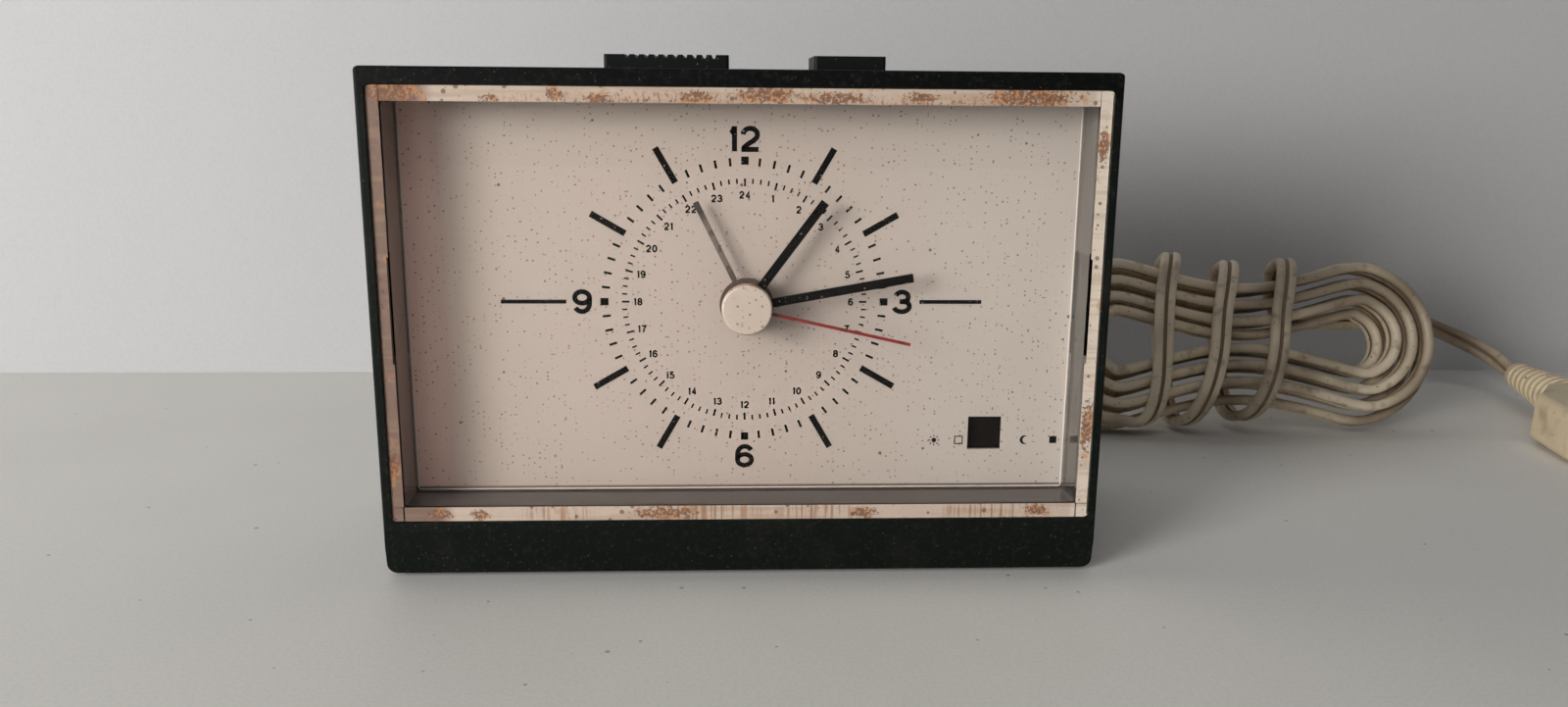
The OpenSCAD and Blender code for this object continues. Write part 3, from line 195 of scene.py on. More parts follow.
WALL_GRAIN = (0.36, 0.36, 0.37)


# Settings that a user would change


def length_setting(name, description, default):
    """A length in metres."""
    return bpy.props.FloatProperty(
        name=name, description=description, default=default, min=0.0, unit="LENGTH", precision=5
    )


def colour_setting(name, description, default):
    """A colour as linear red, green and blue."""
    return bpy.props.FloatVectorProperty(
        name=name, description=description, default=default, min=0.0, max=1.0, size=3, subtype="COLOR"
    )


class ClockSizes(bpy.types.PropertyGroup):
    """Sizes of what is printed on the dial, and of the lead."""

    numeral_height: length_setting("Numeral height", "Height of the four large numerals", 0.00505)
    numeral_stroke: length_setting("Numeral stroke", "Stroke of the four large numerals", 0.001)
    day_numeral_height: length_setting("Day numeral height", "Height of the small numerals", 0.00155)
    day_numeral_stroke: length_setting("Day numeral stroke", "Stroke of the small numerals", 0.00034)
    hour_bar_width: length_setting("Hour bar width", "Width of the eight slanting bars", 0.0013)
    side_bar_width: length_setting("Side bar width", "Width of the two level bars", 0.0008)
    print_thickness: length_setting("Print thickness", "Thickness of the ink", 0.00003)
    strand: length_setting("Strand", "Diameter of one strand of the twin lead", 0.0028)


class ClockColours(bpy.types.PropertyGroup):
    """Main colours of the finishes."""

    case: colour_setting("Case", "Dark green moulded case", (0.0045, 0.0068, 0.0053))
    dial: colour_setting("Dial", "Cream dial plate", (0.329, 0.272, 0.241))
    ink: colour_setting("Ink", "Black of the print and the two main hands", (0.004, 0.0036, 0.0032))
    seconds: colour_setting("Second hand", "Dark red of the second hand", (0.16, 0.01, 0.008))
    alarm: colour_setting("Alarm hand", "Grey brown of the alarm hand", (0.105, 0.084, 0.07))
    margin: colour_setting("Margin", "Cream of the dial's margin behind the lens walls", (0.45, 0.365, 0.3))
    cap: colour_setting("Cap", "Cream of the cap over the hands", (0.37, 0.31, 0.265))
    rust: colour_setting("Rust", "Brown of the stains", (0.2, 0.07, 0.022))
    lead: colour_setting("Lead", "Grey cream vinyl of the lead", (0.83, 0.7, 0.52))
    grime: colour_setting("Grime", "Brown dirt on the lead and the plug", (0.13, 0.078, 0.04))
    plug: colour_setting("Plug", "Ivory of the plug", (0.66, 0.54, 0.36))
    # The crease colour is dirt and painted shade between the two strands
    crease: colour_setting("Crease", "Dirt between the two strands of the lead", (0.22, 0.145, 0.09))
    floor: colour_setting("Floor", "Pale floor", (0.86, 0.84, 0.8))
    backdrop: colour_setting("Backdrop", "Pale wall", (0.595, 0.595, 0.6))
    keys: colour_setting("Keys", "Black of the keys and the knobs", (0.0055, 0.0075, 0.0068))
    day_half: colour_setting("Day half", "Light half of the day and night disc", (0.6, 0.56, 0.5))
    # The lens sides' colour is painted light that the lens's left wall shows
    liner: colour_setting("Lens sides", "Inner light of the lens's left wall", (0.43, 0.31, 0.255))
    # The lens edges' colour is a painted highlight along the dial's edge
    edge: colour_setting("Lens edges", "Light lines where the lens meets the dial", (0.55, 0.49, 0.45))
    rubber: colour_setting("Rubber", "Feet and gland", (0.018, 0.018, 0.018))
    steel: colour_setting("Steel", "Screws, springs and shafts", (0.5, 0.5, 0.49))
    nickel: colour_setting("Nickel", "Pins of the plug", (0.62, 0.6, 0.56))
    brass: colour_setting("Brass", "Plates and wheels of the movement", (0.62, 0.45, 0.2))
    nylon: colour_setting("Nylon", "Reduction wheels and bobbin", (0.72, 0.68, 0.56))
    magnet: colour_setting("Magnet", "Grey of the rotor", (0.08, 0.08, 0.085))
    core: colour_setting("Core", "Steel of the stator", (0.28, 0.28, 0.29))
    copper: colour_setting("Copper", "Winding of the coil", (0.35, 0.12, 0.04))


# Finishes

EVEN = (1.0, 1.0, 1.0)


class Finish:
    """A procedural material: one Principled shader, and a colour that is built up layer by layer."""

    def __init__(self, name, colour, roughness, metallic=0.0, specular=None):
        self.material = bpy.data.materials.new(name)
        self.material.use_nodes = True
        self.nodes = self.material.node_tree.nodes
        self.links = self.material.node_tree.links
        self.shader = self.nodes["Principled BSDF"]
        self.plain = (*colour, 1.0)
        self.colour = None
        self.shader.inputs["Base Color"].default_value = self.plain
        self.shader.inputs["Roughness"].default_value = roughness
        self.shader.inputs["Metallic"].default_value = metallic
        if specular is not None:
            self.shader.inputs["Specular IOR Level"].default_value = specular

    def place(self, stretch=EVEN):
        """The surface point in the clock's own frame, in metres, stretched along X, Y and Z."""
        point = self.nodes.new("ShaderNodeTexCoord")
        scaled = self.nodes.new("ShaderNodeVectorMath")
        scaled.operation = "MULTIPLY"
        scaled.inputs[1].default_value = stretch
        self.links.new(point.outputs["Object"], scaled.inputs[0])
        return scaled.outputs[0]

    def math(self, operation, a, b=None):
        """Arithmetic on numbers and on what other nodes give."""
        node = self.nodes.new("ShaderNodeMath")
        node.operation = operation
        for socket, value in zip(node.inputs, (a, b)):
            if value is None:
                continue
            if isinstance(value, (int, float)):
                socket.default_value = value
            else:
                self.links.new(value, socket)
        return node.outputs[0]

    def axes(self):
        """The surface point's X, Y and Z as three values."""
        parts = self.nodes.new("ShaderNodeSeparateXYZ")
        self.links.new(self.place(), parts.inputs[0])
        return parts.outputs[0], parts.outputs[1], parts.outputs[2]

    def distance(self, u, v):
        """Length of the line whose two sides are u and v."""
        return self.math("SQRT", self.math("ADD", self.math("POWER", u, 2.0), self.math("POWER", v, 2.0)))

    def from_hands(self):
        """Distance from the axis of the hands."""
        x, _, z = self.axes()
        across = self.math("SUBTRACT", x, HAND_AXIS[0] * MM)
        return self.distance(across, self.math("SUBTRACT", z, HAND_AXIS[1] * MM))

    def step(self, value, low, high):
        """0 up to low, 1 from high, smooth between them."""
        node = self.nodes.new("ShaderNodeMapRange")
        node.interpolation_type = "SMOOTHSTEP"
        node.inputs["From Min"].default_value = low
        node.inputs["From Max"].default_value = high
        self.links.new(value, node.inputs["Value"])
        return node.outputs[0]

    def after(self, value, span):
        """0 before a span of millimetres, 1 beyond it."""
        return self.step(value, span[0] * MM, span[1] * MM)

    def before(self, value, span):
        """1 before a span of millimetres, 0 beyond it."""
        return self.math("SUBTRACT", 1.0, self.after(value, span))

    def noise(self, scale, detail, stretch=EVEN, roughness=0.5):
        """Cloudy values round 0.5, about that many clouds to the metre."""
        node = self.nodes.new("ShaderNodeTexNoise")
        node.inputs["Scale"].default_value = scale
        node.inputs["Detail"].default_value = detail
        node.inputs["Roughness"].default_value = roughness
        self.links.new(self.place(stretch), node.inputs["Vector"])
        return node.outputs["Fac"]

    def patches(self, scale, detail, low, high, stretch=EVEN):
        """1 in patches where noise of that scale is above high, 0 where it is below low."""
        return self.step(self.noise(scale, detail, stretch), low, high)

    def spots(self, places):
        """1 in the middle of each place and 0 from its rim; a place is X, Z and two half sizes in mm."""
        x, _, z = self.axes()
        total = None
        for at_x, at_z, half_x, half_z in places:
            u = self.math("DIVIDE", self.math("SUBTRACT", x, at_x * MM), half_x * MM)
            v = self.math("DIVIDE", self.math("SUBTRACT", z, at_z * MM), half_z * MM)
            spot = self.math("SUBTRACT", 1.0, self.step(self.distance(u, v), 0.3, 1.0))
            total = spot if total is None else self.math("MAXIMUM", total, spot)
        return total

    def specks(self, spacing, radius, stretch=EVEN, flat=False):
        """1 in round specks up to that radius, about that far apart, in metres; flat ones lie in X and Z."""
        cells = self.nodes.new("ShaderNodeTexVoronoi")
        cells.inputs["Scale"].default_value = 1.0 / spacing
        where = self.place(stretch)
        if flat:
            cells.voronoi_dimensions = "2D"
            parts = self.nodes.new("ShaderNodeSeparateXYZ")
            facing = self.nodes.new("ShaderNodeCombineXYZ")
            self.links.new(where, parts.inputs[0])
            self.links.new(parts.outputs[0], facing.inputs[0])
            self.links.new(parts.outputs[2], facing.inputs[1])
            where = facing.outputs[0]
        self.links.new(where, cells.inputs["Vector"])
        parts = self.nodes.new("ShaderNodeSeparateColor")
        self.links.new(cells.outputs["Color"], parts.inputs[0])
        size = self.math("MULTIPLY", self.math("POWER", parts.outputs[0], 3.0), radius / spacing)
        return self.math("LESS_THAN", cells.outputs["Distance"], size)

    def paint(self, colour, mask, strength=1.0):
        """Lays another colour over the present one where mask is 1."""
        node = self.nodes.new("ShaderNodeMix")
        node.data_type = "RGBA"
        if self.colour is None:
            node.inputs["A"].default_value = self.plain
        else:
            self.links.new(self.colour, node.inputs["A"])
        node.inputs["B"].default_value = (*colour, 1.0)
        amount = mask if strength == 1.0 else self.math("MULTIPLY", mask, strength)
        self.links.new(amount, node.inputs["Factor"])
        self.colour = node.outputs["Result"]
        self.links.new(self.colour, self.shader.inputs["Base Color"])

    def dull(self, mask, low, high):
        """Roughness from low to high as mask goes from 0 to 1."""
        node = self.nodes.new("ShaderNodeMapRange")
        node.inputs["To Min"].default_value = low
        node.inputs["To Max"].default_value = high
        self.links.new(mask, node.inputs["Value"])
        self.links.new(node.outputs[0], self.shader.inputs["Roughness"])

    def bump(self, height, distance, strength):
        """A relief of that many metres."""
        node = self.nodes.new("ShaderNodeBump")
        node.inputs["Strength"].default_value = strength
        node.inputs["Distance"].default_value = distance
        self.links.new(height, node.inputs["Height"])
        self.links.new(node.outputs[0], self.shader.inputs["Normal"])

    def open_up(self, mask, tint=EVEN):
        """Lets light straight through, with that tint, where mask is 1."""
        clear = self.nodes.new("ShaderNodeBsdfTransparent")
        clear.inputs["Color"].default_value = (*tint, 1.0)
        choice = self.nodes.new("ShaderNodeMixShader")
        self.links.new(mask, choice.inputs[0])
        self.links.new(self.shader.outputs[0], choice.inputs[1])
        self.links.new(clear.outputs[0], choice.inputs[2])
        self.links.new(choice.outputs[0], self.nodes["Material Output"].inputs["Surface"])

    def cover(self, *names):
        """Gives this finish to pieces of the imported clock."""
        for piece in nodes_named(*names):
            put_on(self.material, piece)


def metal(name, colour, roughness):
    """A metal finish whose shine varies a little."""
    finish = Finish(name, colour, roughness, metallic=1.0)
    tarnish = [0.6 * c for c in colour]
    finish.paint(tarnish, finish.patches(scale=220, detail=3, low=0.5, high=0.75), 0.5)
    finish.dull(finish.noise(scale=900, detail=3), 0.7 * roughness, 1.3 * roughness)
    return finish


def put_on(material, piece):
    """Gives a piece this one material."""
    piece.data.materials.clear()
    piece.data.materials.append(material)


def nodes_named(*names):
    """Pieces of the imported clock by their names."""
    return [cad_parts[name] for name in names]


# Meshes


def new_piece(name, verts, faces, body, material, smooth=False):
    """A mesh piece in metres that rides on a body."""
    mesh = bpy.data.meshes.new(name)
    mesh.from_pydata([tuple(v) for v in verts], [], faces)
    mesh.validate()
    mesh.polygons.foreach_set("use_smooth", [smooth] * len(mesh.polygons))
    mesh.update()
    piece = bpy.data.objects.new(name, mesh)
    bpy.context.scene.collection.objects.link(piece)
    put_on(material, piece)
    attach(piece, body)
    return piece


def boxes_piece(name, boxes, body, material):
    """A piece made of boxes, each given by its two corners in millimetres."""
    verts, faces = [], []
    for low, high in boxes:
        base = len(verts)
        ends = list(zip(low, high))
        verts += [(x * MM, y * MM, z * MM) for x in ends[0] for y in ends[1] for z in ends[2]]
        for face in ((0, 1, 3, 2), (4, 6, 7, 5), (0, 4, 5, 1), (2, 3, 7, 6), (0, 2, 6, 4), (1, 5, 7, 3)):
            faces.append(tuple(base + k for k in face))
    return new_piece(name, verts, faces, body, material)


class Print:
    """Flat shapes of ink, drawn in millimetres from the middle of the dial and laid on its front."""

    def __init__(self, thickness):
        self.front = DIAL_Y * MM - thickness
        self.back = DIAL_Y * MM
        self.verts = []
        self.faces = []

    def quads(self, left, right, closed=False):
        """A strip between two rows of points, as a solid layer of ink."""
        base = len(self.verts)
        count = len(left)
        for x, z in (*left, *right):
            self.verts.append(((DIAL_MIDDLE[0] + x) * MM, self.front, (DIAL_MIDDLE[1] + z) * MM))
        for x, z in (*left, *right):
            self.verts.append(((DIAL_MIDDLE[0] + x) * MM, self.back, (DIAL_MIDDLE[1] + z) * MM))
        deep = 2 * count
        for k in range(count if closed else count - 1):
            a, b = base + k, base + (k + 1) % count
            c, d = a + count, b + count
            self.faces += [
                (a, b, d, c),
                (a + deep, c + deep, d + deep, b + deep),
                (a, a + deep, b + deep, b),
                (c, d, d + deep, c + deep),
            ]
        if not closed:
            a, b = base, base + count - 1
            self.faces += [
                (a, a + count, a + count + deep, a + deep),
                (b, b + deep, b + count + deep, b + count),
            ]

    def stroke(self, points, width, closed=False):
        """A line of ink of even width with flat ends."""
        count = len(points)
        left, right = [], []
        for k, p in enumerate(points):
            before = points[(k - 1) % count] if closed or k > 0 else p
            after = points[(k + 1) % count] if closed or k < count - 1 else p
            into = Vector((p[0] - before[0], p[1] - before[1]))
            out = Vector((after[0] - p[0], after[1] - p[1]))
            into = into.normalized() if into.length > 0 else out.normalized()
            out = out.normalized() if out.length > 0 else into
            middle = (into + out).normalized()
            side = Vector((-middle.y, middle.x)) * (width / 2 / max(0.5, middle.dot(out)))
            left.append((p[0] + side.x, p[1] + side.y))
            right.append((p[0] - side.x, p[1] - side.y))
        self.quads(left, right, closed)

    def disc(self, at, radius, sides=32):
        """A round dot of ink."""
        rim = [(at[0] + radius * cos(a), at[1] + radius * sin(a)) for a in angles(0, 2 * pi, sides)[:-1]]
        half = len(rim) // 2
        self.quads(rim[: half + 1], [rim[0]] + rim[:half:-1] + [rim[half]])

    def radial(self, clock_degrees, inner, outer, width):
        """A bar that points at the middle of the dial."""
        a = radians(clock_degrees)
        self.stroke([(inner * sin(a), inner * cos(a)), (outer * sin(a), outer * cos(a))], width)

    def digits(self, text, middle, height, stroke, breadth=1.0):
        """Upright numerals, centred on a point; all but the ones widen with breadth."""
        widths = [DIGIT_WIDTHS[c] * (1.0 if c == "1" else breadth) for c in text]
        x = -(sum(widths) + DIGIT_GAP * (len(text) - 1)) / 2
        for c, w in zip(text, widths):
            for points, closed in DIGITS[c]:
                inset = stroke / height / 2
                fitted = [
                    (
                        middle[0] + (x + inset + u * (w - 2 * inset)) * height,
                        middle[1] + (v - 0.5 + inset * (1 - 2 * v)) * height,
                    )
                    for u, v in points
                ]
                self.stroke(fitted, stroke, closed)
            x += w + DIGIT_GAP

    def piece(self, name, material):
        """Makes one piece of all the ink drawn so far."""
        return new_piece(name, self.verts, self.faces, "case", material)


def angles(start, stop, count):
    """From start to stop in that many even steps, both ends included."""
    return [start + (stop - start) * k / count for k in range(count + 1)]


def arc(cx, cz, rx, rz, start, stop, count=14):
    return [(cx + rx * cos(a), cz + rz * sin(a)) for a in angles(radians(start), radians(stop), count)]


def ring(cx, cz, rx, rz):
    """A closed line for a numeral."""
    return (arc(cx, cz, rx, rz, 0, 360, 28)[:-1], True)


# Centre lines of the numerals in a unit box; a stroke is set in by half its width at the box's sides
SIX = [ring(0.5, 0.29, 0.5, 0.29), ([(0.0, 0.29), (0.0, 0.46)] + arc(0.52, 0.58, 0.52, 0.42, 170, 32), False)]
DIGITS = {
    "0": [ring(0.5, 0.5, 0.5, 0.5)],
    "1": [([(0.86, -0.1), (0.86, 1.1)], False), ([(0.0, 0.76), (0.4, 0.82), (0.78, 1.03)], False)],
    "2": [
        (arc(0.5, 0.7, 0.48, 0.3, 178, -28) + [(0.72, 0.42), (0.32, 0.24), (0.1, 0.1), (0.06, -0.02)], False),
        ([(-0.1, 0.0), (1.06, 0.0)], False),
    ],
    "3": [
        (arc(0.46, 0.74, 0.44, 0.26, 165, -80), False),
        (arc(0.46, 0.27, 0.54, 0.27, 88, -168), False),
        ([(0.3, 0.51), (0.62, 0.51)], False),
    ],
    "4": [([(0.72, -0.1), (0.72, 1.0), (0.02, 0.27)], False), ([(-0.06, 0.24), (1.06, 0.24)], False)],
    "5": [([(0.95, 1.0), (0.2, 1.0), (0.1, 0.5)], False), (arc(0.46, 0.3, 0.54, 0.3, 135, -165), False)],
    "6": SIX,
    "7": [([(-0.06, 1.0), (1.0, 1.0), (0.52, 0.45), (0.36, -0.1)], False)],
    "8": [ring(0.5, 0.75, 0.42, 0.25), ring(0.5, 0.25, 0.5, 0.25)],
    "9": [([(1 - u, 1 - v) for u, v in points], closed) for points, closed in SIX],
}
DIGIT_WIDTHS = {c: 0.62 for c in DIGITS}
DIGIT_WIDTHS["1"] = 0.37
DIGIT_GAP = 0.1


# Route of the lead: the same points as the solid tubes, in millimetres. In the hank's own frame
# u runs along it, v up its plane and w across its layers


def smooth(x):
    """0 up to 0, 1 from 1, smooth between them."""
    c = max(0.0, min(1.0, x))
    return c * c * (3 - 2 * c)


def mix(a, b, s):
    """From a to b as s goes from 0 to 1, with a smooth start and end."""
    return a + (b - a) * smooth(s)


def tangent(points, k):
    """The direction of the line at point k."""
    return (points[min(k + 1, len(points) - 1)] - points[max(k - 1, 0)]).normalized()


# The flat lead and the loops of its hank; the lean is in radians, and a climb in turns
CORD_WIDE = 5.6
CORD_THICK = 2.8
HANK_AT = (145.0, 109.0)
HANK_RUN = 35.0
HANK_IN_R = 8.4
HANK_STEP = 4.8
HANK_DRAW = 6.5
DRAW_RAMP = 26.0
HANK_LEAN = radians(20.0)
LAYERS = 2
LAYER_TURNS = 3.5
HALF_CLIMB = 0.25
LOOP_RINGS = 24
RUN_SHARE = 5 / 48
LAYER_STEP = CORD_WIDE + 0.6
HANK_OUT_R = HANK_IN_R + (LAYER_TURNS - HALF_CLIMB) * HANK_STEP
HANK_SIDE = (LAYERS - 1) / 2 * LAYER_STEP
HANK_Z = (HANK_OUT_R + CORD_THICK / 2) * cos(HANK_LEAN) + (HANK_SIDE + CORD_WIDE / 2) * sin(HANK_LEAN)

# The wraps round the hank's waist; they go on, come off and end at so many degrees round it
WRAP_RINGS = 24
WRAP_PITCH = 17.0
WRAP_U0 = -30.5
WRAP_SLANT = 3.0
WRAP_SIDE = 12.0
WRAP_ROOM = 4.6
WRAP_POWER = 0.7
WRAP_ON = 115.0
WRAP_OFF = 940.0
WRAP_END = 1000.0

# The ways on and off the hank, and the lead before and after it
EXIT_V = 8.0
EXIT_U = 36.0
EXIT_START = 17.0
EXIT_REACH = 12.0
EXIT_STRAIGHT = 5.0
ENTRY_REACH = 11.0
ENTRY_STRAIGHT = 6.0
ON_RINGS = 10
ON_REACH = 20.0
OFF_RINGS = 10
HANK_LEAD_IN = 9.0
LEAD_START = (50.0, 82.0, 11.8)
LEAD_POINTS = (
    (50.8, 91.4, 11.3), (52.6, 94.9, 10.3), (55.3, 98, 8.9), (58.8, 100.6, 7.3), (63, 102.4, 5.7),
    (67.8, 103.4, 4.2), (73, 103.7, 3.1), (78.5, 103.7, 2.5), (84, 103.7, 2.3),
)
TAIL_POINTS = (
    (192.8, 124.3, 29.7), (199, 126.9, 30), (205, 131.2, 29.6), (210.2, 136.8, 28.8),
    (215, 142.6, 27.5), (219.1, 147, 26), (223.7, 150.8, 24.2), (229, 153.5, 22.1),
    (235, 154.5, 19.7), (240.8, 153.1, 17.2), (245.5, 149.4, 14.7), (248.4, 144.1, 12.2),
    (248.91, 137.72, 10.04), (248, 132, 9.8),
)


def loop_radius(t):
    """Radius of the loops at turn t, in and out again with each layer."""
    x = t - 2 * LAYER_TURNS * floor(t / (2 * LAYER_TURNS))
    f = max(0.0, abs(x - LAYER_TURNS) - HALF_CLIMB)
    outside = t < LAYER_TURNS or t > (LAYERS - 1) * LAYER_TURNS
    return HANK_IN_R + HANK_STEP * (f if outside else min(f, LAYER_TURNS - 2 * HALF_CLIMB))


def loop_side(t):
    """How far turn t lies across the hank, a step for each layer climbed."""
    climbs = sum(smooth((t - k * LAYER_TURNS) / (2 * RUN_SHARE) + 0.5) for k in range(1, LAYERS))
    return LAYER_STEP * climbs - HANK_SIDE


def draw_in(u):
    """How far the wraps pull the loops in at u along the hank."""
    return HANK_DRAW * smooth((HANK_RUN - abs(u)) / DRAW_RAMP)


def loop_point(t):
    """The loops' u, v and w at turn t."""
    f = t - floor(t)
    r = loop_radius(max(0.0, t))
    w = loop_side(t)
    s = RUN_SHARE
    fold = pi / (0.5 - 2 * s)
    if f < s:
        u = f / s * HANK_RUN
        return Vector((u, draw_in(u) - r, w))
    if f < 0.5 - s:
        q = (f - s) * fold - pi / 2
        return Vector((HANK_RUN + r * cos(q), r * sin(q), w))
    if f < 0.5 + s:
        u = (0.5 - f) / s * HANK_RUN
        return Vector((u, r - draw_in(u), w))
    if f < 1 - s:
        q = pi / 2 + (f - 0.5 - s) * fold
        return Vector((r * cos(q) - HANK_RUN, r * sin(q), w))
    u = (f - 1) / s * HANK_RUN
    return Vector((u, draw_in(u) - r, w))


def bent(x):
    """A power of x that keeps its sign, which squares the wraps' round."""
    return (1 if x > 0 else -1 if x < 0 else 0) * abs(x) ** WRAP_POWER


def wrap_point(q):
    """The wraps' u, v and w, q degrees round the waist from its underside."""
    u = WRAP_U0 + WRAP_PITCH * q / 360 - WRAP_SLANT * cos(radians(q))
    h = HANK_OUT_R - draw_in(u) + WRAP_ROOM
    return Vector((u, -h * bent(cos(radians(q))), WRAP_SIDE * bent(sin(radians(q)))))


def wrap_out(q):
    """The direction away from the hank at q degrees."""
    return Vector((0.0, -cos(radians(q)), sin(radians(q))))


def leaned(p):
    """From the hank's own plane to across, depth and height."""
    s, c = sin(HANK_LEAN), cos(HANK_LEAN)
    return Vector((p[0], p[1] * s - p[2] * c, p[1] * c + p[2] * s))


def hank_route():
    """Points of the hank, and the direction of the flat lead's width at each."""
    turns = LAYERS * LAYER_TURNS
    count = round(turns * LOOP_RINGS)
    points = [
        Vector((-HANK_RUN - u, -HANK_OUT_R, -HANK_SIDE)) for u in (ENTRY_REACH, ENTRY_REACH - ENTRY_STRAIGHT)
    ]
    points += [loop_point(turns * k / count - RUN_SHARE) for k in range(count + 1)]
    outs = [None] * len(points)
    for k in range(1, ON_RINGS + 1):
        s = k / ON_RINGS
        u = ON_REACH * s - HANK_RUN
        level = Vector((u, draw_in(u) - HANK_OUT_R, HANK_SIDE))
        points.append(mix(level, wrap_point(WRAP_ON * s), s))
        outs.append(mix(Vector((0, -1, 0)), wrap_out(WRAP_ON * s), s).normalized())
    turn = 360 / WRAP_RINGS
    for k in range(1, int((WRAP_OFF - WRAP_ON) / turn) + 1):
        points.append(wrap_point(WRAP_ON + k * turn))
        outs.append(wrap_out(WRAP_ON + k * turn))
    for k in range(1, OFF_RINGS + 1):
        s = k / OFF_RINGS
        q = WRAP_OFF + (WRAP_END - WRAP_OFF) * s
        points.append(mix(wrap_point(q), Vector((EXIT_START + EXIT_REACH * s, EXIT_V, -WRAP_SIDE)), s))
        outs.append(mix(wrap_out(q), Vector((0, 0, -1)), s).normalized())
    for u in (EXIT_U - EXIT_STRAIGHT, EXIT_U):
        points.append(Vector((u, EXIT_V, -WRAP_SIDE)))
        outs.append(Vector((0, 0, -1)))
    wide = [
        leaned(Vector((0, 0, 1)) if out is None else out.cross(tangent(points, k)))
        for k, out in enumerate(outs)
    ]
    centre = Vector((*HANK_AT, HANK_Z))
    return [centre + leaned(p) for p in points], wide


def lead_route():
    """The whole lead from the gland to the plug: points in metres, and its width's direction at each."""
    hank, hank_wide = hank_route()
    up = leaned((0, 1, 0))
    level = Vector((0, 0, 1))
    start = Vector(LEAD_START)
    lead = [start, start + Vector((0, CORD_WIDE, 0))] + [Vector(p) for p in LEAD_POINTS]
    lead += [hank[0] - Vector((HANK_LEAD_IN, 0, 0)), hank[0]]
    lead_wide = [
        tangent(lead, k).cross(mix(level, up, k / (len(lead) - 1))) for k in range(len(lead))
    ]
    tail = [hank[-1], hank[-1] + Vector((CORD_WIDE, 0, 0))] + [Vector(p) for p in TAIL_POINTS]
    tail_wide = [-up] * len(tail)
    points = lead[:-1] + hank + tail[1:]
    wide = lead_wide[:-1] + hank_wide + tail_wide[1:]
    shift = Vector((0, FRONT_Y, 0))
    return [(p + shift) * MM for p in points], wide


def through(points, k, s):
    """A smooth curve through the points, s of the way from point k to the next one."""
    last = len(points) - 1
    a, b = points[max(k - 1, 0)], points[k]
    c, d = points[min(k + 1, last)], points[min(k + 2, last)]
    return 0.5 * (
        2 * b + (c - a) * s + (2 * a - 5 * b + 4 * c - d) * s**2 + (3 * b - a - 3 * c + d) * s**3
    )


# Steps from one point of the route to the next, and round each strand
SMOOTH_STEPS = 3
STRAND_STEPS = 14


def smoothed(route, route_wide):
    """The route in finer steps, and its width's direction at each."""
    path, wide = [], []
    for k in range(len(route) - 1):
        for step in range(SMOOTH_STEPS):
            s = step / SMOOTH_STEPS
            path.append(through(route, k, s))
            wide.append(route_wide[k].lerp(route_wide[k + 1], s))
    path.append(route[-1])
    wide.append(route_wide[-1])
    return path, wide


def twin_section(strand):
    """Outline of two round strands side by side with a web between them."""
    r = strand / 2
    open_angle = radians(150)
    right = [(r + r * cos(a), r * sin(a)) for a in angles(-open_angle, open_angle, STRAND_STEPS)]
    return right + [(-x, -z) for x, z in right]


def darken_crease(lead, rings, material):
    """Puts another material, the crease's dirt and painted shade, on the faces along the web and just beside
    it, on both sides.
    """
    half = STRAND_STEPS + 1
    web = {side * half + near for side in (0, 1) for near in (0, half - 2, half - 1)}
    lead.data.materials.append(material)
    for face in lead.data.polygons[: (rings - 1) * 2 * half]:
        if face.index % (2 * half) in web:
            face.material_index = 1


def sweep(points, wide, section):
    """A closed tube of that section along the points."""
    count, sides = len(points), len(section)
    verts, faces = [], []
    for k, p in enumerate(points):
        t = tangent(points, k)
        u = (wide[k] - wide[k].dot(t) * t).normalized()
        v = t.cross(u)
        verts += [p + u * a + v * b for a, b in section]
    for k in range(count - 1):
        for j in range(sides):
            i = (j + 1) % sides
            faces.append((k * sides + j, k * sides + i, (k + 1) * sides + i, (k + 1) * sides + j))
    faces.append(tuple(range(sides - 1, -1, -1)))
    faces.append(tuple((count - 1) * sides + j for j in range(sides)))
    return verts, faces


# Steps that make the clock


class CLOCK_OT_view(bpy.types.Operator):
    """Sets the camera at the photograph's viewing angle"""

    bl_idname = "clock.view"
    bl_label = "Camera"

    def execute(self, context):
        yaw, pitch, roll = CAMERA_YAW, CAMERA_PITCH, CAMERA_ROLL
        ahead = Vector((sin(yaw) * cos(pitch), cos(yaw) * cos(pitch), -sin(pitch)))
        right = Vector((cos(yaw), -sin(yaw), 0))
        up = right.cross(ahead)
        across = cos(roll) * right + sin(roll) * up
        upward = cos(roll) * up - sin(roll) * right
        turn = Matrix((across, upward, -ahead)).transposed().to_4x4()
        camera = bpy.data.objects.new("camera", bpy.data.cameras.new("camera"))
        camera.data.sensor_width = CAMERA_SENSOR
        camera.data.lens = CAMERA_FOCAL_LENGTH
        camera.data.clip_start = CAMERA_NEAR
        camera.matrix_world = Matrix.Translation(CAMERA_AT) @ turn
        context.scene.collection.objects.link(camera)
        context.scene.camera = camera
        return {"FINISHED"}


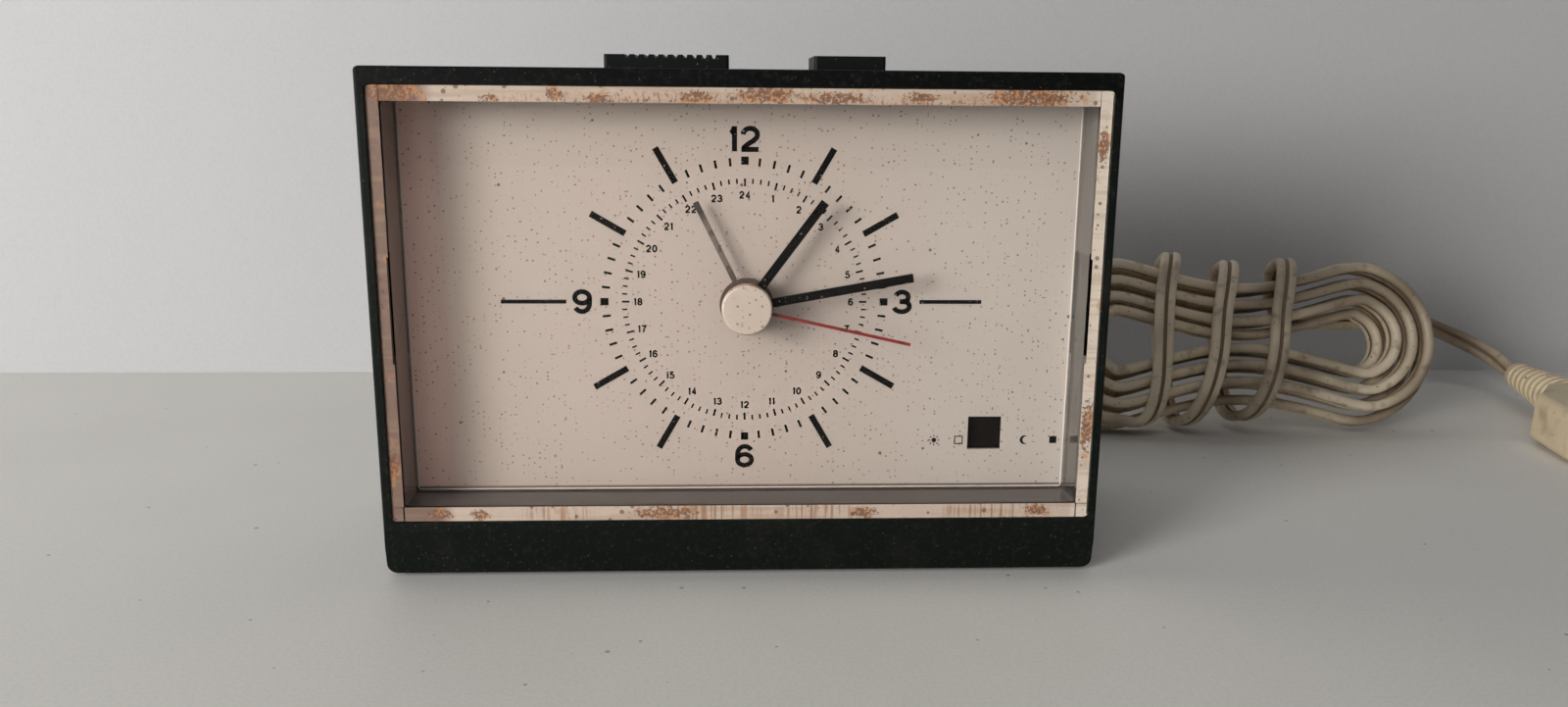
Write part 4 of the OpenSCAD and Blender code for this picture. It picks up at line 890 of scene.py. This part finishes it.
class CLOCK_OT_lead(bpy.types.Operator):
    """Lays the twin lead from the gland through its hank to the plug"""

    bl_idname = "clock.lead"
    bl_label = "Lead"

    def execute(self, context):
        colours, sizes = context.scene.clock_colours, context.scene.clock_sizes
        route, route_wide = lead_route()
        path, wide = smoothed(route, route_wide)
        verts, faces = sweep(path, wide, twin_section(sizes.strand))
        lead = new_piece("lead", verts, faces, "case", self.vinyl(colours), smooth=True)
        darken_crease(lead, len(path), self.crease(colours))
        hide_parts("cord_lead", "cord_hank", "cord_tail")
        return {"FINISHED"}

    def vinyl(self, colours):
        """Greyed cream vinyl with grime, darker towards the plug."""
        vinyl = Finish("lead_vinyl", colours.lead, roughness=0.42)
        x, _, _ = vinyl.axes()
        # Darker towards the plug
        vinyl.paint(colours.grime, vinyl.after(x, TAIL_DARK_X), 0.5)
        vinyl.paint(colours.grime, vinyl.patches(scale=45, detail=2, low=0.4, high=0.68), 0.6)
        vinyl.paint(colours.grime, vinyl.patches(scale=260, detail=2, low=0.55, high=0.75), 0.45)
        vinyl.paint(colours.grime, vinyl.specks(spacing=0.0013, radius=0.0003), 0.7)
        return vinyl.material

    def crease(self, colours):
        """Dirt and painted shade between the two strands."""
        crease = Finish("lead_crease_dirt_and_shade", colours.crease, roughness=0.6)
        crease.paint(colours.grime, crease.patches(scale=200, detail=2, low=0.5, high=0.7), 0.5)
        return crease.material


class CLOCK_OT_plug(bpy.types.Operator):
    """Finishes the plug, its ribbed relief and its pins"""

    bl_idname = "clock.plug"
    bl_label = "Plug"

    def execute(self, context):
        colours = context.scene.clock_colours
        ivory = Finish("plug_ivory", colours.plug, roughness=0.45)
        ivory.paint(colours.grime, ivory.patches(scale=160, detail=4, low=0.5, high=0.75), 0.35)
        ivory.paint(colours.grime, ivory.specks(spacing=0.002, radius=0.0004), 0.8)
        ivory.cover("plug_relief", "plug_body")
        nickel = metal("pin_nickel", colours.nickel, roughness=0.25)
        nickel.cover("plug_pins")
        return {"FINISHED"}


class CLOCK_OT_case(bpy.types.Operator):
    """Finishes the case and its rear cover"""

    bl_idname = "clock.case"
    bl_label = "Case"

    def execute(self, context):
        green = Finish("case_green", context.scene.clock_colours.case, roughness=0.42, specular=0.1)
        _, _, z = green.axes()
        green.paint(CASE_SMEAR, green.patches(scale=70, detail=4, low=0.52, high=0.75), 0.3)
        # Painted shade: the case darker towards its top, over the brow above the lens
        green.paint(CASE_BROW_SHADE, green.after(z, CASE_BROW_SHADE_Z), 0.85)
        green.paint(CASE_GRAIN, green.patches(scale=1100, detail=2, low=0.48, high=0.75), 0.5)
        green.paint(CASE_DUST, green.specks(spacing=0.0008, radius=0.00018), 0.4)
        green.dull(green.noise(scale=120, detail=3), low=0.38, high=0.55)
        green.bump(green.noise(scale=2600, detail=2), distance=0.00002, strength=0.6)
        green.cover("case_shell", "rear_cover")
        return {"FINISHED"}


class CLOCK_OT_fittings(bpy.types.Operator):
    """Finishes the screws, springs, posts and shafts, and the rubber of the feet and the gland"""

    bl_idname = "clock.fittings"
    bl_label = "Fittings"

    def execute(self, context):
        colours = context.scene.clock_colours
        steel = metal("screw_steel", colours.steel, roughness=0.35)
        steel.cover(
            "cover_screws", "bar_springs", "button_spring", "button_bridge", "pillars",
            "dial_posts", "buzzer_reed", "alarm_shaft", "time_shaft",
        )
        rubber = Finish("rubber_black", colours.rubber, roughness=0.7)
        rubber.paint(RUBBER_DUST, rubber.patches(scale=400, detail=3, low=0.5, high=0.75), 0.4)
        rubber.cover("rubber_feet", "cord_gland")
        return {"FINISHED"}


class CLOCK_OT_lens(bpy.types.Operator):
    """Makes the box lens clear"""

    bl_idname = "clock.lens"
    bl_label = "Lens"

    def execute(self, context):
        clear = Finish("lens_clear", (0.985, 0.98, 0.97), roughness=0.0)
        clear.shader.inputs["Transmission Weight"].default_value = 1.0
        clear.shader.inputs["IOR"].default_value = 1.49
        clear.shader.inputs["Specular Tint"].default_value = (0.15, 0.15, 0.15, 1.0)
        rays = clear.nodes.new("ShaderNodeLightPath")
        clear.open_up(rays.outputs["Is Shadow Ray"], tint=(0.94, 0.935, 0.92))
        clear.cover("lens")
        return {"FINISHED"}


class CLOCK_OT_margin(bpy.types.Operator):
    """Lays in the lens walls the dial's margin as the walls carry it forward like pipes, with its painted
    light and shade, painted light on the walls' inner sides and painted highlight lines at the dial's edge
    """

    bl_idname = "clock.margin"
    bl_label = "Margin in the Lens"

    def execute(self, context):
        colours = context.scene.clock_colours
        edge = Finish("lens_edge_glint", colours.edge, roughness=0.5)
        for name, boxes, material in (
            ("lens_margin", self.margin_boxes(), self.margin(colours)),
            ("lens_side", self.liner_boxes(), self.liner(colours)),
            ("lens_edge_glints", self.edge_boxes(), edge.material),
        ):
            boxes_piece(name, boxes, "case", material)
        return {"FINISHED"}

    def margin(self, colours):
        """Cream with streaks, worn bars, foxing, rust and specks, lit at the right and shaded at the left."""
        margin = Finish("margin_cream", colours.margin, roughness=0.55)
        x, _, _ = margin.axes()
        margin.paint(MARGIN_LIT, margin.after(x, MARGIN_LIT_X), 0.9)
        margin.paint(MARGIN_SHADED, margin.before(x, MARGIN_SHADED_X), 0.9)
        streaks = margin.patches(scale=800, detail=2, low=0.5, high=0.62, stretch=(0.04, 1.0, 1.0))
        margin.paint(MARGIN_STREAK, streaks, 0.35)
        bars = margin.patches(scale=1500, detail=2, low=0.47, high=0.58, stretch=(1.0, 1.0, 0.04))
        margin.paint(MARGIN_BAR, margin.math("MULTIPLY", margin.spots(MARGIN_WEAR), bars), 0.75)
        foxed = margin.spots(MARGIN_FOXING)
        margin.paint(MARGIN_FOX, foxed, 0.25)
        dashes = margin.patches(scale=1800, detail=2, low=0.52, high=0.62, stretch=(1.0, 1.0, 0.5))
        margin.paint(MARGIN_DASH, margin.math("MULTIPLY", foxed, dashes), 0.7)
        rusty = margin.math("MULTIPLY", margin.spots(MARGIN_RUST), 0.22)
        coarse, fine = margin.noise(scale=500, detail=3), margin.noise(scale=1500, detail=3, roughness=0.7)
        margin.paint(MARGIN_STAIN, margin.step(margin.math("ADD", rusty, coarse), 0.58, 0.8), 0.75)
        margin.paint(MARGIN_GRAIN, margin.step(margin.math("ADD", rusty, fine), 0.63, 0.72), 0.85)
        margin.paint(MARGIN_SPECK, margin.specks(spacing=0.0022, radius=0.0005, flat=True), 0.75)
        return margin.material

    def liner(self, colours):
        """Painted light and shade that each inner wall of the lens shows: left, right and foot."""
        liner = Finish("lens_side_painted_light", colours.liner, roughness=0.7)
        x, _, z = liner.axes()
        # Painted light: paler at the left, darker at the right and along the foot
        liner.paint(SIDE_LIGHT_RIGHT, liner.math("GREATER_THAN", x, 0.0))
        liner.paint(SIDE_LIGHT_FOOT, liner.math("LESS_THAN", z, (STRIP_FOOT + 1.5 * SIDE_LIGHT_THICK) * MM))
        return liner.material

    def margin_boxes(self):
        """A strip along the lens's foot, one along its top and four up each side."""
        boxes = [
            ((-LENS_INNER_X, STRIP_NEAR, STRIP_FOOT), (LENS_INNER_X, STRIP_FAR, LENS_INNER_FOOT)),
            ((-LENS_INNER_X, STRIP_NEAR, LENS_INNER_TOP), (LENS_INNER_X, STRIP_FAR, STRIP_TOP)),
        ]
        levels = (
            (STRIP_FOOT, LENS_INNER_FOOT - STRIP_GAP, STRIP_SEAM),
            (LENS_INNER_FOOT, TAB_FOOT, STRIP_GAP),
            (TAB_FOOT, TAB_TOP, STRIP_TAB_GAP),
            (TAB_TOP, STRIP_TOP, STRIP_GAP),
        )
        for foot, top, inset in levels:
            inner = LENS_INNER_X + inset
            boxes.append(((-STRIP_X, STRIP_NEAR, foot), (-inner, STRIP_FAR, top)))
            boxes.append(((inner, STRIP_NEAR, foot), (STRIP_X, STRIP_FAR, top)))
        return boxes

    def liner_boxes(self):
        """Sheets up the left side, up the right side above its tab, and along the foot."""
        left_foot, right_foot = STRIP_FOOT + 2 * SIDE_LIGHT_THICK, TAB_TOP + STRIP_SEAM
        return [
            ((-STRIP_X, SIDE_LIGHT_NEAR, left_foot), (SIDE_LIGHT_THICK - STRIP_X, SIDE_LIGHT_FAR, STRIP_TOP)),
            ((STRIP_X - SIDE_LIGHT_THICK, SIDE_LIGHT_NEAR, right_foot), (STRIP_X, SIDE_LIGHT_FAR, STRIP_TOP)),
            ((-STRIP_X, SIDE_LIGHT_NEAR, STRIP_FOOT), (STRIP_X, SIDE_LIGHT_FAR, STRIP_FOOT + SIDE_LIGHT_THICK)),
        ]

    def edge_boxes(self):
        """Painted highlight lines where the left, right and lower walls meet the dial."""
        x, foot, top = LENS_INNER_X, LENS_INNER_FOOT, LENS_INNER_TOP
        return [
            ((-x, EDGE_NEAR, foot), (EDGE_WIDE - x, EDGE_FAR, top)),
            ((x - EDGE_WIDE, EDGE_NEAR, foot), (x, EDGE_FAR, top)),
            ((EDGE_WIDE - x, EDGE_NEAR, foot), (x - EDGE_WIDE, EDGE_FAR, foot + EDGE_WIDE)),
        ]


class CLOCK_OT_dial(bpy.types.Operator):
    """Finishes the dial plate, and the day and night disc behind its window"""

    bl_idname = "clock.dial"
    bl_label = "Dial"

    def execute(self, context):
        colours = context.scene.clock_colours
        cream = Finish("dial_cream", colours.dial, roughness=0.6)
        x, _, z = cream.axes()
        # Painted light towards the right, painted shade at the left, and painted light at the far-left rim
        # where the lens wall carries light in
        cream.paint(DIAL_LIT, cream.after(x, DIAL_LIT_X), 0.75)
        cream.paint(DIAL_SHADED, cream.before(x, DIAL_SHADED_X), 0.9)
        cream.paint(DIAL_RIM_LIGHT, cream.before(x, DIAL_RIM_LIGHT_X))
        cream.paint(DIAL_BLOTCH, cream.patches(scale=26, detail=3, low=0.55, high=0.85), 0.12)
        cream.paint(DIAL_FINE_SPECK, cream.specks(spacing=0.0011, radius=0.00022, flat=True), 0.85)
        oblong = cream.specks(spacing=0.0046, radius=0.00029, stretch=(0.6, 1.0, 1.7), flat=True)
        cream.paint(DIAL_SPECK, oblong, 0.7)
        cream.paint(DIAL_DARK_SPECK, cream.specks(spacing=0.0095, radius=0.00036, flat=True), 0.85)
        cream.paint(DIAL_DIRT, cream.before(z, DIAL_DIRT_Z), 0.85)
        cream.cover("dial_plate")
        disc = Finish("disc_two_tone", colours.day_half, roughness=0.55, specular=0.1)
        across, _, _ = disc.axes()
        disc.paint(NIGHT_HALF, disc.math("GREATER_THAN", across, DAY_DISC_X * MM))
        disc.cover("day_night_disc")
        return {"FINISHED"}


class CLOCK_OT_print(bpy.types.Operator):
    """Prints the numerals, bars, ticks and marks on the dial"""

    bl_idname = "clock.print"
    bl_label = "Dial Print"

    def execute(self, context):
        colours, sizes = context.scene.clock_colours, context.scene.clock_sizes
        ink = Finish("print_ink", colours.ink, roughness=0.55, specular=0.05)
        ink.paint(INK_CHIP, ink.specks(spacing=0.0014, radius=0.0002, flat=True), 0.7)
        for name, draw in (
            ("print_hours", self.hours),
            ("print_minutes", self.minutes),
            ("print_numerals", self.numerals),
            ("print_day_ring", self.day_ring),
            ("print_marks", self.marks),
        ):
            layer = Print(sizes.print_thickness)
            draw(layer, sizes)
            layer.piece(name, ink.material)
        return {"FINISHED"}

    def hours(self, layer, sizes):
        """Slanting bars, square marks at the quarters and the two level bars."""
        for hour in range(12):
            if hour % 3:
                layer.radial(hour * 30, *HOUR_BAR, sizes.hour_bar_width / MM)
            else:
                layer.radial(hour * 30, *QUARTER_MARK)
        for left, right in (LEFT_BAR, RIGHT_BAR):
            layer.stroke([(left, 0), (right, 0)], sizes.side_bar_width / MM)

    def minutes(self, layer, sizes):
        """Ticks for the minutes between the bars."""
        for minute in range(60):
            if minute % 5:
                layer.radial(minute * 6, *MINUTE_TICK)

    def numerals(self, layer, sizes):
        """The four large numerals."""
        tall, stroke = sizes.numeral_height / MM, sizes.numeral_stroke / MM
        for text, at in LARGE_NUMERALS:
            layer.digits(text, at, tall, stroke, breadth=1.25)

    def day_ring(self, layer, sizes):
        """The ring of 24 hours, with a tick for each quarter of an hour."""
        for quarter in range(96):
            tick = QUARTER_HOUR_TICK if quarter % 4 else WHOLE_HOUR_TICK
            layer.radial(quarter * 3.75, *tick)
        small, thin = sizes.day_numeral_height / MM, sizes.day_numeral_stroke / MM
        for hour in range(1, 25):
            a = radians(hour * 15)
            at = (DAY_NUMERAL_RADIUS * sin(a), DAY_NUMERAL_RADIUS * cos(a))
            layer.digits(str(hour), at, small, thin, breadth=1.1)

    def marks(self, layer, sizes):
        """A sun and an open square beside the window for day, a moon and a filled square for night."""
        left, right = DAY_BOX_X - DAY_BOX_HALF, DAY_BOX_X + DAY_BOX_HALF
        foot, top = MARKS_Z - DAY_BOX_HALF, MARKS_Z + DAY_BOX_HALF
        layer.stroke([(left, foot), (right, foot), (right, top), (left, top)], DAY_BOX_STROKE, closed=True)
        layer.stroke([(x, MARKS_Z) for x in NIGHT_BOX], NIGHT_BOX[1] - NIGHT_BOX[0])
        layer.disc((SUN_X, MARKS_Z), SUN_RADIUS)
        for ray in range(SUN_RAYS):
            a = ray * 2 * pi / SUN_RAYS
            layer.stroke([(SUN_X + r * cos(a), MARKS_Z + r * sin(a)) for r in SUN_RAY], MARK_STROKE)
        r, hollow = MOON_RADIUS, MOON_HOLLOW_RADIUS
        outer = arc(MOON_X, MARKS_Z, r, r, *MOON_SWEEP, MOON_STEPS)
        inner = arc(MOON_HOLLOW_X, MARKS_Z, hollow, hollow, *MOON_HOLLOW_SWEEP, MOON_STEPS)
        layer.quads(outer, inner)


class CLOCK_OT_hands(bpy.types.Operator):
    """Finishes the four hands and the cap"""

    bl_idname = "clock.hands"
    bl_label = "Hands"

    def execute(self, context):
        colours = context.scene.clock_colours
        black = Finish("hand_black", colours.ink, roughness=0.4, specular=0.05)
        black.paint(HAND_CHIP, black.specks(spacing=0.0014, radius=0.0002, flat=True), 0.6)
        black.cover("hour_hand", "minute_hand")
        red = Finish("hand_red", colours.seconds, roughness=0.4)
        red.paint(SECONDS_WEAR, red.patches(scale=900, detail=2, low=0.5, high=0.65), 0.6)
        red.cover("second_hand")
        grey = Finish("hand_grey", colours.alarm, roughness=0.45)
        grey.paint(ALARM_WEAR, grey.patches(scale=700, detail=3, low=0.48, high=0.6), 0.75)
        grey.paint(ALARM_TIP, grey.after(grey.from_hands(), ALARM_TIP_RADIUS), 0.85)
        grey.paint(ALARM_BOSS, grey.math("LESS_THAN", grey.from_hands(), ALARM_BOSS_RADIUS * MM), 0.9)
        grey.cover("alarm_hand")
        cap = Finish("cap_cream", colours.cap, roughness=0.4)
        cap.paint(colours.rust, cap.patches(scale=420, detail=4, low=0.6, high=0.72), 0.55)
        rim = cap.math("GREATER_THAN", cap.from_hands(), CAP_RIM_RADIUS * MM)
        rust = cap.patches(scale=300, detail=3, low=0.35, high=0.6)
        cap.paint(colours.rust, cap.math("MULTIPLY", rim, rust), 0.6)
        cap.paint(colours.grime, cap.specks(spacing=0.0012, radius=0.00028, flat=True), 0.8)
        cap.cover("centre_cap")
        return {"FINISHED"}


class CLOCK_OT_keys(bpy.types.Operator):
    """Finishes the two keys on top and the two knobs behind"""

    bl_idname = "clock.keys"
    bl_label = "Keys and Knobs"

    def execute(self, context):
        black = Finish("key_black", context.scene.clock_colours.keys, roughness=0.45, specular=0.15)
        black.paint(KEY_DUST, black.specks(spacing=0.001, radius=0.0002), 0.6)
        black.bump(black.noise(scale=2400, detail=2), distance=0.00002, strength=0.5)
        black.cover("ribbed_bar", "small_button", "alarm_knob", "time_knob")
        return {"FINISHED"}


class CLOCK_OT_movement(bpy.types.Operator):
    """Finishes the wheels, plates and motor inside the case"""

    bl_idname = "clock.movement"
    bl_label = "Movement"

    def execute(self, context):
        colours = context.scene.clock_colours
        brass = metal("brass", colours.brass, roughness=0.3)
        brass.cover(
            "front_plate", "rear_plate", "cannon_pinion", "minute_wheel", "hour_wheel", "alarm_wheel",
            "day_idler", "day_wheel", "seconds_wheel", "third_wheel", "centre_wheel",
        )
        nylon = Finish("nylon_ivory", colours.nylon, roughness=0.5)
        nylon.paint(NYLON_AGE, nylon.patches(scale=150, detail=3, low=0.5, high=0.75), 0.3)
        nylon.cover("second_reduction_wheel", "first_reduction_wheel", "coil_bobbin")
        magnet = Finish("rotor_grey", colours.magnet, roughness=0.5, metallic=0.6)
        magnet.cover("rotor")
        core = metal("core_steel", colours.core, roughness=0.45)
        core.cover("stator_core")
        copper = Finish("winding_copper", colours.copper, roughness=0.35)
        turns = copper.noise(scale=300, detail=1, stretch=(12, 1, 1))
        copper.bump(turns, distance=0.0001, strength=0.5)
        copper.cover("coil_winding")
        return {"FINISHED"}


class CLOCK_OT_stage(bpy.types.Operator):
    """Sets the floor, the wall, the pale surroundings and the soft studio light"""

    bl_idname = "clock.stage"
    bl_label = "Stage"

    def execute(self, context):
        context.scene.view_settings.view_transform = "Standard"
        self.floor_and_wall(context)
        self.surroundings(context.scene)
        self.lamp(
            context, "key", at=(-0.80, -0.78, 0.27), aim=(0.0, 0.0, 0.05),
            size=0.48, watts=10.8, colour=(1.0, 0.985, 0.96),
        )
        self.lamp(
            context, "overhead", at=(-0.2, -0.85, 1.1), aim=(0.0, -0.1, 0.0),
            size=1.0, watts=2.4, colour=(0.97, 0.985, 1.0),
        )
        return {"FINISHED"}

    def floor_and_wall(self, context):
        """A floor that runs on behind the wall, and a wall that only shows from its front."""
        colours = context.scene.clock_colours
        floor = Finish("floor_pale", colours.floor, roughness=0.55)
        floor.paint(FLOOR_CLOUD, floor.patches(scale=9, detail=4, low=0.45, high=0.75), 0.12)
        floor.paint(FLOOR_GRAIN, floor.patches(scale=1300, detail=2, low=0.4, high=0.7), 0.1)
        floor.paint(FLOOR_CRUMB, floor.specks(spacing=0.006, radius=0.0005), 0.6)
        wall = Finish("wall_pale", colours.backdrop, roughness=0.8)
        wall.paint(WALL_GRAIN, wall.patches(scale=1100, detail=2, low=0.4, high=0.7), 0.1)
        side = wall.nodes.new("ShaderNodeNewGeometry")
        wall.open_up(side.outputs["Backfacing"])
        near, far, half_width, top = FLOOR_NEAR_Y, FLOOR_FAR_Y, STAGE_HALF_WIDTH, WALL_TOP
        for name, material, low, high in (
            ("floor", floor.material, (near, 0), (far, 0)),
            ("wall", wall.material, (WALL_Y, 0), (WALL_Y, top)),
        ):
            corners = ((-half_width, *low), (half_width, *low), (half_width, *high), (-half_width, *high))
            mesh = bpy.data.meshes.new(name)
            mesh.from_pydata(corners, [], [(0, 1, 2, 3)])
            plane = bpy.data.objects.new(name, mesh)
            context.scene.collection.objects.link(plane)
            put_on(material, plane)

    def surroundings(self, scene):
        """A faint even light all round, which the camera, gloss and glass see as a pale grey."""
        scene.world = bpy.data.worlds.new("studio")
        scene.world.use_nodes = True
        tree = scene.world.node_tree
        rays = tree.nodes.new("ShaderNodeLightPath")
        seen = rays.outputs["Is Camera Ray"]
        for kind in ("Is Glossy Ray", "Is Transmission Ray"):
            either = tree.nodes.new("ShaderNodeMath")
            either.operation = "MAXIMUM"
            tree.links.new(seen, either.inputs[0])
            tree.links.new(rays.outputs[kind], either.inputs[1])
            seen = either.outputs[0]
        strength = tree.nodes.new("ShaderNodeMapRange")
        strength.inputs["To Min"].default_value = SKY_FAINT
        strength.inputs["To Max"].default_value = SKY_SEEN
        sky = tree.nodes["Background"]
        sky.inputs["Color"].default_value = SKY_COLOUR
        tree.links.new(seen, strength.inputs["Value"])
        tree.links.new(strength.outputs[0], sky.inputs["Strength"])

    def lamp(self, context, name, at, aim, size, watts, colour):
        """A round soft lamp of that many metres across, turned to what it lights."""
        light = bpy.data.lights.new(name, "AREA")
        light.shape = "DISK"
        light.size = size
        light.energy = watts
        light.color = colour
        lamp = bpy.data.objects.new(name, light)
        lamp.location = at
        lamp.rotation_euler = (Vector(aim) - Vector(at)).to_track_quat("-Z", "Y").to_euler()
        context.scene.collection.objects.link(lamp)


class CLOCK_PT_panel(bpy.types.Panel):
    """The clock's settings and the steps that make it"""

    bl_idname = "CLOCK_PT_panel"
    bl_label = "Alarm Clock"
    bl_space_type = "VIEW_3D"
    bl_region_type = "UI"
    bl_category = "Clock"

    def draw(self, context):
        layout = self.layout
        for group in (context.scene.clock_sizes, context.scene.clock_colours):
            box = layout.box()
            for name in group.__annotations__:
                box.prop(group, name)
        for operator in OPERATORS:
            layout.operator(operator.bl_idname)


OPERATORS = (
    CLOCK_OT_view,
    CLOCK_OT_lead,
    CLOCK_OT_plug,
    CLOCK_OT_case,
    CLOCK_OT_fittings,
    CLOCK_OT_lens,
    CLOCK_OT_margin,
    CLOCK_OT_dial,
    CLOCK_OT_print,
    CLOCK_OT_hands,
    CLOCK_OT_keys,
    CLOCK_OT_movement,
    CLOCK_OT_stage,
)


def register():
    for cls in (ClockSizes, ClockColours, *OPERATORS, CLOCK_PT_panel):
        bpy.utils.register_class(cls)
    bpy.types.Scene.clock_sizes = bpy.props.PointerProperty(type=ClockSizes)
    bpy.types.Scene.clock_colours = bpy.props.PointerProperty(type=ClockColours)


def unregister():
    del bpy.types.Scene.clock_colours
    del bpy.types.Scene.clock_sizes
    for cls in reversed((ClockSizes, ClockColours, *OPERATORS, CLOCK_PT_panel)):
        bpy.utils.unregister_class(cls)


def main():
    register()
    bpy.ops.clock.view()
    bpy.ops.clock.lead()
    bpy.ops.clock.plug()
    bpy.ops.clock.case()
    bpy.ops.clock.fittings()
    bpy.ops.clock.lens()
    bpy.ops.clock.margin()
    bpy.ops.clock.dial()
    bpy.ops.clock.print()
    bpy.ops.clock.hands()
    bpy.ops.clock.keys()
    bpy.ops.clock.movement()
    bpy.ops.clock.stage()


if __name__ == "__main__":
    main()
